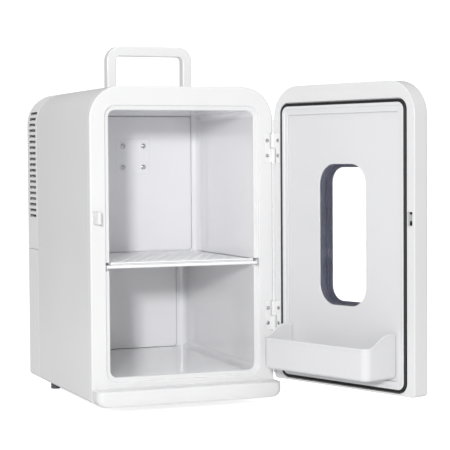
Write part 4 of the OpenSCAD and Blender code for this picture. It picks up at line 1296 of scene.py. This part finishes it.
    def works(self) -> None:
        """Dresses the cooler, the fan, the supply and the sockets behind the covers."""
        soft = {"handle_tray": (FINISHES.satin, 0.5), "fan_frame": (FINISHES.fan, 0.4),
                "ac_inlet": (FINISHES.socket, 0.4), "dc_inlet": (FINISHES.socket, 0.4),
                "rocker_frame": (FINISHES.socket, 0.4), "heat_sink": (FINISHES.bare, 0.2)}
        for node, (finish, width) in soft.items():
            settle(refined(node + "_part", node, width * MM), self.body, finish, [node])
        kept = {"foam_insulation": FINISHES.foam, "rear_divider": FINISHES.sheet, "cold_block": FINISHES.bare,
                "peltier_module": FINISHES.ceramic, "module_seal": FINISHES.ring,
                "heat_sink_screws": FINISHES.zinc, "power_board": FINISHES.board,
                "handle_pins": FINISHES.zinc, "inlet_pins": FINISHES.zinc}
        for node, finish in kept.items():
            dress(node, finish)

    def build(self) -> None:
        """Builds the whole cabinet."""
        self.front_frame()
        self.shell()
        self.plinth()
        self.liner()
        self.back_plates()
        self.rear_covers()
        self.feet()
        self.catch_and_hinges()
        self.works()


# ---- Shelf, handle, fan wheel and switch ----------------------------------------


@dataclass
class Shelf:
    """The pierced shelf that slides in the compartment's grooves."""

    plate: float = 2.4 * MM
    tongue: float = 3.9 * MM
    slot_width: float = 5 * MM
    slot_length: float = 7 * MM
    slot_corner: float = 2 * MM
    pitch_across: float = 14 * MM
    pitch_deep: float = 14 * MM
    first_row: float = 14 * MM
    margins_across: float = 16 * MM
    margins_deep: float = 18 * MM

    def build(self) -> None:
        """Builds the plate, its stepped front lip, its side tongues and its slots."""
        box = span("shelf")
        half = Cabinet.mouth_half - 1.2 * MM
        front, back = box.lo.y + 1.5 * MM, box.hi.y
        top = box.hi.z - 1.0 * MM
        lip_back = front + 4 * MM
        soft = 0.8 * MM
        plan = rounded(-half, front, half, back, 2 * MM, 4)
        sheet = loft("shelf_plate", Plane.PLAN, rim(plan, top - self.plate, 1, soft)[::-1]
                     + rim(plan, top, -1, soft))
        cutters = []
        rows = int((back - front - self.margins_deep) / self.pitch_deep)
        columns = int((2 * half - self.margins_across) / self.pitch_across)
        for row in range(rows):
            for column in range(columns):
                x = (column - (columns - 1) / 2 + (row % 2) / 2 - 0.25) * self.pitch_across
                y = front + self.first_row + row * self.pitch_deep
                slot = rounded(x, y, x + self.slot_width, y + self.slot_length, self.slot_corner, 4)
                cutters.append(loft("shelf_slot", Plane.PLAN, [
                    (slot.inset(0.3 * MM), top - 2 * self.plate), (slot.inset(0.3 * MM), top - 0.4 * MM),
                    (slot, top + 0.05 * MM), (slot, top + MM)]))
        sheet = carved(sheet, cutters)
        lip = rounded(front, top - self.plate - 0.2 * MM, lip_back, box.hi.z, 1.4 * MM, 5)
        low = rounded(box.lo.y, box.lo.z, front + 3 * MM, box.lo.z + self.tongue, 1.4 * MM, 5)
        bars = [pebble("shelf_lip", Plane.SIDE, lip, -half, half, 1.2 * MM),
                pebble("shelf_lower_lip", Plane.SIDE, low, box.lo.x, box.hi.x, 1.2 * MM)]
        rail = rounded(front, box.lo.z, back, box.lo.z + self.tongue, 1.2 * MM, 4)
        for sign in (-1, 1):
            ends = sorted((sign * (half - 4 * MM), sign * box.hi.x))
            bars.append(pebble("shelf_rail", Plane.SIDE, rail, ends[0], ends[1], 0.8 * MM))
        settle(joined("shelf_moulding", [sheet] + bars), "shelf", FINISHES.shelf, ["shelf"])


@dataclass
class Handle:
    """The carrying loop that folds back into the top."""

    bar: float = 13 * MM
    bend: float = 12.5 * MM
    soft: float = 1.8 * MM
    steps: int = 10

    def path(self, box: Span) -> list[tuple[Vector, Vector]]:
        """Finds the loop's middle line.

        Args:
            box: The handle's box.

        Returns:
            Points along the line, each with the direction in towards the hand.
        """
        half = box.size.x / 2 - self.bar / 2
        top = box.hi.z - (self.bar + 0.7 * MM) / 2
        y = box.mid.y
        low = box.lo.z + box.size.y / 2
        found = [(Vector((-half, y, low)), Vector((1, 0, 0)))]
        for start, cx in ((180, -half + self.bend), (90, half - self.bend)):
            for step in range(self.steps + 1):
                turn = math.radians(start - 90 * step / self.steps)
                outward = Vector((math.cos(turn), 0, math.sin(turn)))
                centre = Vector((cx, y, top - self.bend))
                found.append((centre + outward * self.bend, -outward))
        found.append((Vector((half, y, low)), Vector((-1, 0, 0))))
        return found

    def build(self) -> None:
        """Builds the loop from a rounded section and adds its two pivot ends."""
        box = span("handle")
        deep = box.size.y
        section = rounded(-self.bar / 2, -deep / 2, self.bar / 2, deep / 2, self.soft, 5)
        rings = []
        for point, inward in self.path(box):
            rings.append([point - inward * u + Vector((0, v, 0)) for u, v in section.points()])
        loop = skin("handle_loop", rings)
        ends = []
        axis = Vector((1, 0, 0))
        radius = deep / 2
        for sign in (-1, 1):
            x0 = sign * (box.size.x / 2 - self.bar / 2) - self.bar / 2
            profile = [(radius - 1 * MM, 0.0), (radius, 1 * MM), (radius, self.bar - 1 * MM),
                       (radius - 1 * MM, self.bar)]
            ends.append(turned("handle_end", profile, Vector((x0, box.mid.y, box.lo.z + radius)), axis, 40))
        settle(joined("carry_handle", [loop] + ends), "handle", FINISHES.gloss, ["handle"], 50)


@dataclass
class FanWheel:
    """The fan's wheel: a hub with swept blades."""

    blades: int = 7
    hub: float = 15 * MM
    tip: float = 41 * MM
    thick: float = 1.2 * MM
    steps: int = 6
    sweep: float = 0.45
    root_spread: float = 0.52
    tip_spread: float = 0.36

    def blade(self, centre: Vector, y0: float, y1: float, start: float) -> bpy.types.Object:
        """Builds one blade, pitched and swept from hub to tip.

        Args:
            centre: Centre of the wheel.
            y0: Front of the blades.
            y1: Back of the blades.
            start: Angle of the blade's root.

        Returns:
            The blade.
        """
        rings = []
        chords = (-1, -0.3, 0.4, 1)
        sides = [(0, chord) for chord in chords] + [(1, chord) for chord in reversed(chords)]
        for step in range(self.steps + 1):
            share = step / self.steps
            radius = self.hub - 0.8 * MM + (self.tip - self.hub) * share
            swept = start + self.sweep * share * share
            spread = self.root_spread + (self.tip_spread - self.root_spread) * share
            ring = []
            for side, chord in sides:
                angle = swept + chord * spread / 2
                height = y0 + (y1 - y0) * (0.5 + 0.5 * math.sin(chord * 1.2)) + (side - 0.5) * self.thick
                ring.append(Vector((centre.x + radius * math.cos(angle), height,
                                    centre.z + radius * math.sin(angle))))
            rings.append(ring)
        return skin("blade", rings)

    def build(self) -> None:
        """Builds the hub and the blades."""
        box = span("fan_impeller")
        centre = box.mid
        y0, y1 = box.lo.y + 8 * MM, box.hi.y - 2.5 * MM
        profile = [(1.4 * MM, box.lo.y), (1.4 * MM, box.lo.y + 4.6 * MM), (self.hub, box.lo.y + 4.6 * MM),
                   (self.hub, box.hi.y - 2 * MM), (self.hub - 2 * MM, box.hi.y), (4 * MM, box.hi.y),
                   (3 * MM, box.hi.y - 0.6 * MM)]
        hub = turned("hub", profile, Vector((centre.x, 0, centre.z)), Vector((0, 1, 0)), 40)
        parts = [self.blade(centre, y0, y1, math.tau * i / self.blades) for i in range(self.blades)]
        settle(joined("fan_wheel_moulding", [hub] + parts), "fan_wheel", FINISHES.fan, ["fan_impeller"], 45)


@dataclass
class ModeSwitch:
    """The rocker that picks cold, off or warm."""

    edge: float = 0.6 * MM

    def build(self) -> None:
        """Softens the rocker's edges."""
        cap = refined("mode_rocker_cap", "mode_rocker", self.edge, 3)
        settle(cap, "mode_rocker", FINISHES.socket, ["mode_rocker"])


# ---- Door -----------------------------------------------------------------------


@dataclass
class Door:
    """The swung door: skin, inner panel, seal, window, bin, keeper and leaves."""

    swing: Swing
    corner: float = Cabinet.corner
    base_corner: float = Cabinet.base_corner
    wall: float = Cabinet.wall
    face_edge: float = 4.5 * MM
    inner_edge: float = 1.2 * MM
    gasket_width: float = 4.1 * MM
    gasket_sink: float = 1.3 * MM
    gasket_inset: float = 0.5 * MM
    gasket_corner: float = 14 * MM
    window_corner: float = 26 * MM
    pane_lap: float = 5 * MM
    border_side: float = 6.6 * MM
    border_end: float = 4 * MM
    keeper_side: float = 0.8 * MM
    field_half: float = 97 * MM
    field_low: float = 50 * MM
    field_top: float = 375 * MM
    field_sink: float = 2.0 * MM
    body: str = "door"
    skin_box: Span = field(init=False)
    window: Outline = field(init=False)
    gasket: Outline = field(init=False)

    def __post_init__(self) -> None:
        """Reads the door's outlines from the frame, as if it were shut."""
        self.skin_box = self.swing.shut_span("door_skin")
        pane = self.swing.shut_span("window_spacer")
        lap = self.pane_lap
        self.window = Outline(pane.lo.x + lap, pane.lo.z + lap, pane.hi.x - lap, pane.hi.z - lap,
                              (self.window_corner,) * 4, 12)
        seal = self.swing.shut_span("door_gasket")
        self.gasket = arched(seal.lo.x, seal.lo.z, seal.hi.x, seal.hi.z, self.gasket_corner,
                             self.gasket_corner)

    def place(self, piece: bpy.types.Object, finish: Finish, nodes: Sequence[str] = (),
              angle: float = 34.0) -> None:
        """Swings a piece open, then smooths, dresses and hands it over."""
        settle(self.swing.open(piece), self.body, finish, nodes, angle)

    def outer_skin(self) -> None:
        """Builds the door's outer shell, its rim and its window hole."""
        box = self.skin_box
        shape = arched(box.lo.x, box.lo.z, box.hi.x, box.hi.z, self.base_corner, self.corner)
        inner = shape.inset(self.wall)
        out, inside = box.lo.y, box.hi.y
        flange = self.gasket.inset(-0.3 * MM)
        stations = [(flange, inside - 2 * MM), (flange, inside - 0.3 * MM), (flange.inset(-0.3 * MM), inside)]
        stations += rim(shape, inside, -1, self.inner_edge)[::-1]
        stations += rim(shape, out, 1, self.face_edge, 6)
        stations += rim(self.window.inset(-1.0 * MM), out, 1, -1.2 * MM)[::-1]
        stations += [(self.window.inset(-1.0 * MM), out + self.wall), (inner, out + self.wall),
                     (inner, inside - 2 * MM)]
        piece = loft("door_skin_moulding", Plane.FRONT, stations, closed=True)
        keeper = self.swing.shut_span("catch_keeper")
        cutters = [slug("keeper_seat", (keeper.lo.x, inside - 5 * MM, keeper.lo.z),
                        (keeper.hi.x, inside + MM, keeper.hi.z))]
        piece = carved(piece, cutters)
        self.place(carved(piece, Knuckles.pockets()), FINISHES.door_gloss_painted_shade, ["door_skin"])

    def hinge_bead(self) -> None:
        """Builds the low bead that closes the gap beside the frame, broken at the hinges."""
        box = self.skin_box
        leaves = sorted(loose_parts("hinge_leaves_frame"), key=lambda leaf: leaf.lo.z)
        ends = [box.lo.z + self.base_corner + 2 * MM]
        for leaf in leaves:
            ends += [leaf.lo.z - MM, leaf.hi.z + MM]
        ends.append(box.hi.z - self.corner)
        bars = []
        for z0, z1 in zip(ends[::2], ends[1::2]):
            section = rounded(box.hi.x - 3.2 * MM, box.hi.y - MM, box.hi.x, box.hi.y + 2.2 * MM, 0.7 * MM, 5)
            bars.append(pebble("bead", Plane.PLAN, section, z0, z1, 0.4 * MM))
        self.place(joined("hinge_side_bead", bars), FINISHES.door_gloss_painted_shade)

    def inner_panel(self) -> None:
        """Builds the panel: seal seat, rounded ridge, ledge, sunk field and window hole."""
        box = self.swing.shut_span("door_liner")
        face = self.skin_box.hi.y
        seat = self.gasket.inset(self.gasket_width + 0.2 * MM)
        ridge = ((0.0, 0.2), (0.25, 0.9), (1.0, 1.3), (2.2, 1.4), (3.4, 1.3), (4.2, 0.8), (4.6, 0.2),
                 (4.9, 0.0))
        ridge_width = 4.9 * MM
        field_shape = Outline(-self.field_half, self.field_low, self.field_half, self.field_top,
                              (4 * MM, 2 * MM, 2 * MM, 4 * MM), seat.steps)
        sunk = face - self.field_sink
        stations = [(self.gasket, box.lo.y), (self.gasket, face - 2 * MM), (seat, face - 2 * MM)]
        stations += [(seat.inset(d * MM), face + h * MM) for d, h in ridge]
        ledge = seat.inset(ridge_width)
        stations += [(self.between(ledge, field_shape, 0.5), box.hi.y - 1.4 * MM),
                     (field_shape.inset(-0.3 * MM), face), (field_shape, face - 0.3 * MM)]
        stations += [(field_shape.inset(d * MM), sunk - h * MM) for d, h in
                     ((0.1, 0.7), (0.8, 0.7), (1.2, 0.0))]
        stations += rim(self.window, sunk, -1, -0.9 * MM)[::-1]
        stations += [(self.window, box.lo.y)]
        self.place(loft("door_liner_moulding", Plane.FRONT, stations, closed=True), FINISHES.door_liner,
                   ["door_liner"], 40)

    @staticmethod
    def between(a: Outline, b: Outline, share: float) -> Outline:
        """Draws an outline part of the way from one outline to another.

        Args:
            a: The first outline.
            b: The second outline.
            share: How far it lies from the first towards the second.

        Returns:
            The outline, with as many points as the first.
        """
        def mixed(p: float, q: float) -> float:
            """Mixes two numbers by the share."""
            return p + (q - p) * share

        radii = tuple(mixed(p, q) for p, q in zip(a.radii, b.radii))
        return Outline(mixed(a.u0, b.u0), mixed(a.v0, b.v0), mixed(a.u1, b.u1), mixed(a.v1, b.v1), radii,
                       a.steps)

    def seal(self) -> None:
        """Builds the rubber seal, two soft ribs with a valley, and its butt joint."""
        box = self.swing.shut_span("door_gasket")
        base, top = box.lo.y, box.hi.y - self.gasket_sink
        tall = top - base
        section = ((0.05, 0.0), (0.05, 0.45), (0.35, 0.78), (0.9, 0.98), (1.5, 1.0), (2.1, 0.9), (2.5, 0.72),
                   (2.9, 0.9), (3.5, 1.0), (4.1, 0.98), (4.65, 0.78), (4.95, 0.45), (4.95, 0.0))
        stations = [(self.gasket.inset(self.gasket_inset + d * self.gasket_width / 5), base + tall * h)
                    for d, h in section]
        piece = loft("door_seal", Plane.FRONT, stations, closed=True)
        x = self.gasket.u0 + 0.56 * (self.gasket.u1 - self.gasket.u0)
        slit = slug("seal_joint", (x, base + 0.6 * tall, self.gasket.v1 - 6 * MM),
                    (x + 0.9 * MM, top + MM, self.gasket.v1 + MM), 0.1 * MM)
        self.place(carved(piece, [slit]), FINISHES.seal, ["door_gasket"], 60)

    def glazing(self) -> None:
        """Builds the two panes and the dark spacer frame between them."""
        spacer = self.swing.shut_span("window_spacer")
        y0, y1 = spacer.lo.y, spacer.hi.y
        outer = self.window.inset(-self.pane_lap)
        stations = [(outer, y0), (outer, y1), (self.window.inset(-0.3 * MM), y1)]
        stations += [(self.window.inset(d * MM), y0 + (y1 - y0) * h) for d, h in
                     ((-0.3, 0.9), (-0.9, 0.86), (-0.9, 0.14), (-0.3, 0.1))]
        stations += [(self.window.inset(-0.3 * MM), y0)]
        self.place(loft("window_spacer_frame", Plane.FRONT, stations, closed=True), FINISHES.spacer,
                   ["window_spacer"])
        edge, hole = self.window.inset(-0.2 * MM), self.window
        side, end = self.border_side, self.border_end
        clear = Outline(hole.u0 + side, hole.v0 + end, hole.u1 - side, hole.v1 - end,
                        (self.window_corner - side,) * 4, hole.steps)
        border = [(edge, y0 + 0.05 * MM), (edge, y0 + 0.7 * MM), (clear.inset(-0.4 * MM), y0 + 0.7 * MM),
                  (clear, y0 + 0.4 * MM), (clear, y0 + 0.05 * MM)]
        self.place(loft("window_border", Plane.FRONT, border, closed=True), FINISHES.spacer)
        middle = y0 + (y1 - y0) * 0.45
        bead = [(self.window.inset(d * MM), middle + h * MM) for d, h in
                ((-1.2, -0.3), (-0.7, -0.25), (-0.6, 0.0), (-0.7, 0.25), (-1.2, 0.3))]
        self.place(loft("spacer_bead", Plane.FRONT, bead, closed=True), FINISHES.bead)
        for node, name in (("window_outer_pane", "outer_pane_glass"),
                           ("window_inner_pane", "inner_pane_glass")):
            pane = self.swing.shut_span(node)
            self.place(pebble(name, Plane.FRONT, outer.inset(0.05 * MM), pane.lo.y + 0.05 * MM,
                              pane.hi.y - 0.05 * MM, 0.3 * MM), FINISHES.pane, [node])

    def bin(self) -> None:
        """Builds the open bin with its swept sides, soft floor edge and rolled rim."""
        box = self.swing.shut_span("door_bin")
        front, back = box.hi.y, box.lo.y
        z0, side_top = box.lo.z, box.hi.z
        front_top = z0 + 39.5 * MM
        lip = 0.7 * MM
        wall = 2.2 * MM
        corner = 11 * MM
        flat, ease = 13 * MM, 4 * MM
        run = front - back

        def top_at(y: float) -> float:
            """Returns the height of the rim at a place out from the panel."""
            share = min(max((y - back - flat) / (run - flat - ease), 0.0), 1.0)
            return side_top - (side_top - front_top) * (1 - math.cos(math.pi * share)) / 2

        def plan(inset: float) -> list[Pair]:
            """Draws the open U of the bin's wall.

            Args:
                inset: How far the U is drawn in.

            Returns:
                Its points, from one end at the panel to the other.
            """
            radius = corner - inset
            side_parts, corner_steps = 9, 18
            straight = [back + (front - corner - back) * part / side_parts for part in range(side_parts)]
            found = [(box.hi.x - inset, y) for y in straight]
            for start, cx in ((0, box.hi.x - corner), (90, box.lo.x + corner)):
                for step in range(corner_steps + 1):
                    turn = math.radians(start + 90 * step / corner_steps)
                    found.append((cx + radius * math.cos(turn), front - corner + radius * math.sin(turn)))
            return found + [(box.lo.x + inset, y) for y in reversed(straight)]

        soft, soft_steps = 5 * MM, 5
        inner_soft = soft * 0.8
        rings = []
        for step in range(soft_steps + 1):
            turn = math.radians(90 * step / soft_steps)
            inset = lip + soft * (1 - math.sin(turn))
            rings.append([Vector((x, y, z0 + soft * (1 - math.cos(turn)))) for x, y in plan(inset)])
        for inset, drop in ((lip, 3.2), (0.15 * MM, 2.6), (0.0, 1.6), (0.15 * MM, 0.5), (0.9 * MM, 0.0),
                            (1.8 * MM, 0.3), (wall + 0.2 * MM, 1.2)):
            rings.append([Vector((x, y, top_at(y) - drop * MM)) for x, y in plan(inset)])
        for step in range(soft_steps + 1):
            turn = math.radians(90 * step / soft_steps)
            inset = wall + 0.2 * MM + inner_soft * (1 - math.cos(turn))
            height = z0 + wall + inner_soft * (1 - math.sin(turn))
            rings.append([Vector((x, y, height)) for x, y in plan(inset)])
        made = bmesh.new()
        rows = [[made.verts.new(point) for point in ring] for ring in rings]
        for low, high in zip(rows, rows[1:]):
            for i in range(len(low) - 1):
                made.faces.new((low[i], low[i + 1], high[i + 1], high[i]))
        made.faces.new(rows[0])
        made.faces.new(rows[-1])
        made.faces.new([row[0] for row in rows])
        made.faces.new([row[-1] for row in rows])
        made.faces.new([rows[0][0], rows[-1][0], rows[-1][-1], rows[0][-1]])
        self.place(to_object("door_bin_moulding", made), FINISHES.door_liner, ["door_bin"], 50)

    def keeper(self) -> None:
        """Builds the keeper's socket and its two windows, with black sheets set in them as painted shade."""
        box = self.swing.shut_span("catch_keeper")
        socket = refined("catch_keeper_socket", "catch_keeper", 0.3 * MM)
        socket.data.transform(self.swing.matrix(-1))
        wall = box.hi.x - self.keeper_side
        windows, dark = [], []
        for z0, z1 in ((box.lo.z + 2.2 * MM, box.lo.z + 7.6 * MM),
                       (box.hi.z - 5.0 * MM, box.hi.z - 2.2 * MM)):
            lo = Vector((wall - 0.3 * MM, box.hi.y - 10.5 * MM, z0))
            hi = Vector((wall + 0.5 * MM, box.hi.y - 4.4 * MM, z1))
            windows.append(slug("keeper_window", lo, hi, 0.1 * MM))
            # Painted shade: a thin black sheet inside each window stands in for the shade in the hole behind
            # it.
            dark.append(slug("keeper_painted_shade", (wall + 0.3 * MM, lo.y + 0.02 * MM, z0 + 0.02 * MM),
                             (wall + 0.48 * MM, hi.y - 0.02 * MM, z1 - 0.02 * MM), 0.1 * MM))
        self.place(carved(socket, windows), FINISHES.door_gloss_painted_shade, ["catch_keeper"])
        self.place(joined("keeper_window_painted_shade", dark), FINISHES.socket)

    def fittings(self) -> None:
        """Builds the keeper, the door's hinge leaves and their screws."""
        shut = self.swing.matrix(-1)
        leaves = refined("door_hinge_leaves", "hinge_leaves_door", 0.25 * MM)
        leaves.data.transform(shut)
        self.place(carved(leaves, Knuckles.gaps(-1)), FINISHES.enamel, ["hinge_leaves_door"])
        self.keeper()
        face = self.skin_box.hi.y + 0.4 * MM
        seats = []
        for part in loose_parts("hinge_screws_door"):
            middle = shut @ part.mid
            seats.append(Vector((middle.x, face, middle.z)))
        heads = screw_group("door_hinge_screw_heads", HINGE_SCREW, seats, Vector((0, 1, 0)))
        self.place(heads, FINISHES.zinc, ["hinge_screws_door"])
        dress("door_foam", FINISHES.foam)

    def build(self) -> None:
        """Builds the whole door."""
        self.outer_skin()
        self.hinge_bead()
        self.inner_panel()
        self.seal()
        self.glazing()
        self.bin()
        self.fittings()


# ---- Studio ---------------------------------------------------------------------


@dataclass
class Studio:
    """The camera, the pale floor and the soft lights."""

    eye: tuple[float, float, float] = (-0.68379, -2.02425, 0.31835)
    yaw: float = 21.614
    pitch: float = -2.391
    roll: float = -0.38
    lens: float = 125.0
    sensor: float = 36.0
    ambient: float = 0.5
    backdrop: float = 1.25
    floor_glow: float = 0.8
    floor_radius: float = 8.0
    floor_depth: float = 0.02

    @staticmethod
    def seen(graph: Graph, unseen: float, seen: float) -> bpy.types.NodeSocket:
        """Tells what the eye meets from what lights the fridge.

        Args:
            graph: The graph that the value is for.
            unseen: The value as a light.
            seen: The value to the eye and through glass.

        Returns:
            The value.
        """
        rays = graph.add("ShaderNodeLightPath")
        looked = graph.maths("MAXIMUM", rays.outputs["Is Camera Ray"], rays.outputs["Is Transmission Ray"])
        return graph.spread(looked, 0.0, 1.0, unseen, seen)

    def camera(self) -> None:
        """Sets the camera up."""
        data = bpy.data.cameras.new("studio_camera")
        data.lens = self.lens
        data.sensor_width = self.sensor
        data.clip_end = 50.0
        camera = bpy.data.objects.new("studio_camera", data)
        bpy.context.scene.collection.objects.link(camera)
        turn = (Matrix.Rotation(-math.radians(self.yaw), 4, "Z")
                @ Matrix.Rotation(math.radians(90 + self.pitch), 4, "X")
                @ Matrix.Rotation(math.radians(self.roll), 4, "Z"))
        camera.matrix_world = Matrix.Translation(self.eye) @ turn
        bpy.context.scene.camera = camera

    def floor(self) -> None:
        """Lays the pale floor."""
        disc = turned("studio_floor", [(self.floor_radius, -self.floor_depth), (self.floor_radius, 0.0)],
                      Vector((0, 0, -0.2 * MM)), Vector((0, 0, 1)), 64)
        paper = Finish("pale_floor", "", (0.93, 0.93, 0.93), 0.9, drift=0.004, dust=0.0, wear=0.0,
                       grain_depth=0.02, hairlines=0.0).material()
        surface = paper.node_tree.nodes["Principled BSDF"]
        graph = Graph(paper.node_tree)
        graph.tree.links.new(self.seen(graph, 0.0, self.floor_glow), surface.inputs["Emission Color"])
        surface.inputs["Emission Strength"].default_value = 1.0
        disc.data.materials.append(paper)

    def softbox(self, name: str, azimuth: float, elevation: float, distance: float, size: float,
                power: float) -> None:
        """Hangs a square softbox that looks at the fridge.

        Args:
            name: The light's name.
            azimuth: Degrees round from the front, towards +X.
            elevation: Degrees above the horizon.
            distance: Metres from the fridge.
            size: Side of the softbox in metres.
            power: Watts.
        """
        data = bpy.data.lights.new(name, "AREA")
        data.size = size
        data.energy = power
        light = bpy.data.objects.new(name, data)
        bpy.context.scene.collection.objects.link(light)
        around, above = math.radians(azimuth), math.radians(elevation)
        way = Vector((math.sin(around) * math.cos(above), -math.cos(around) * math.cos(above),
                      math.sin(above)))
        aim = Vector((0.0, -0.1, 0.22))
        light.location = aim + way * distance
        light.rotation_euler = way.to_track_quat("Z", "Y").to_euler()

    def world(self) -> None:
        """Sets a white surround, brighter to the eye and through glass than as a light."""
        surround = bpy.data.worlds.new("studio_surround")
        surround.use_nodes = True
        graph = Graph(surround.node_tree)
        backdrop = surround.node_tree.nodes["Background"]
        graph.tree.links.new(self.seen(graph, self.ambient, self.backdrop), backdrop.inputs["Strength"])
        backdrop.inputs["Color"].default_value = (1.0, 1.0, 1.0, 1.0)
        bpy.context.scene.world = surround

    def build(self) -> None:
        """Sets up the whole studio."""
        bpy.context.scene.view_settings.view_transform = "Standard"
        self.camera()
        self.floor()
        self.softbox("key_softbox", azimuth=-27.0, elevation=11.0, distance=2.8, size=0.22, power=37.0)
        self.softbox("top_softbox", azimuth=0.0, elevation=80.0, distance=2.2, size=1.4, power=12.0)
        self.world()


def main() -> None:
    """Builds the studio and every sub-assembly, in order."""
    logging.basicConfig(level=logging.INFO, format="%(name)s: %(message)s")
    for part in (Studio(), Cabinet(), Shelf(), Handle(), FanWheel(), ModeSwitch(), Door(Swing.read())):
        log.info("building %s", type(part).__name__)
        part.build()


if __name__ == "__main__":
    main()
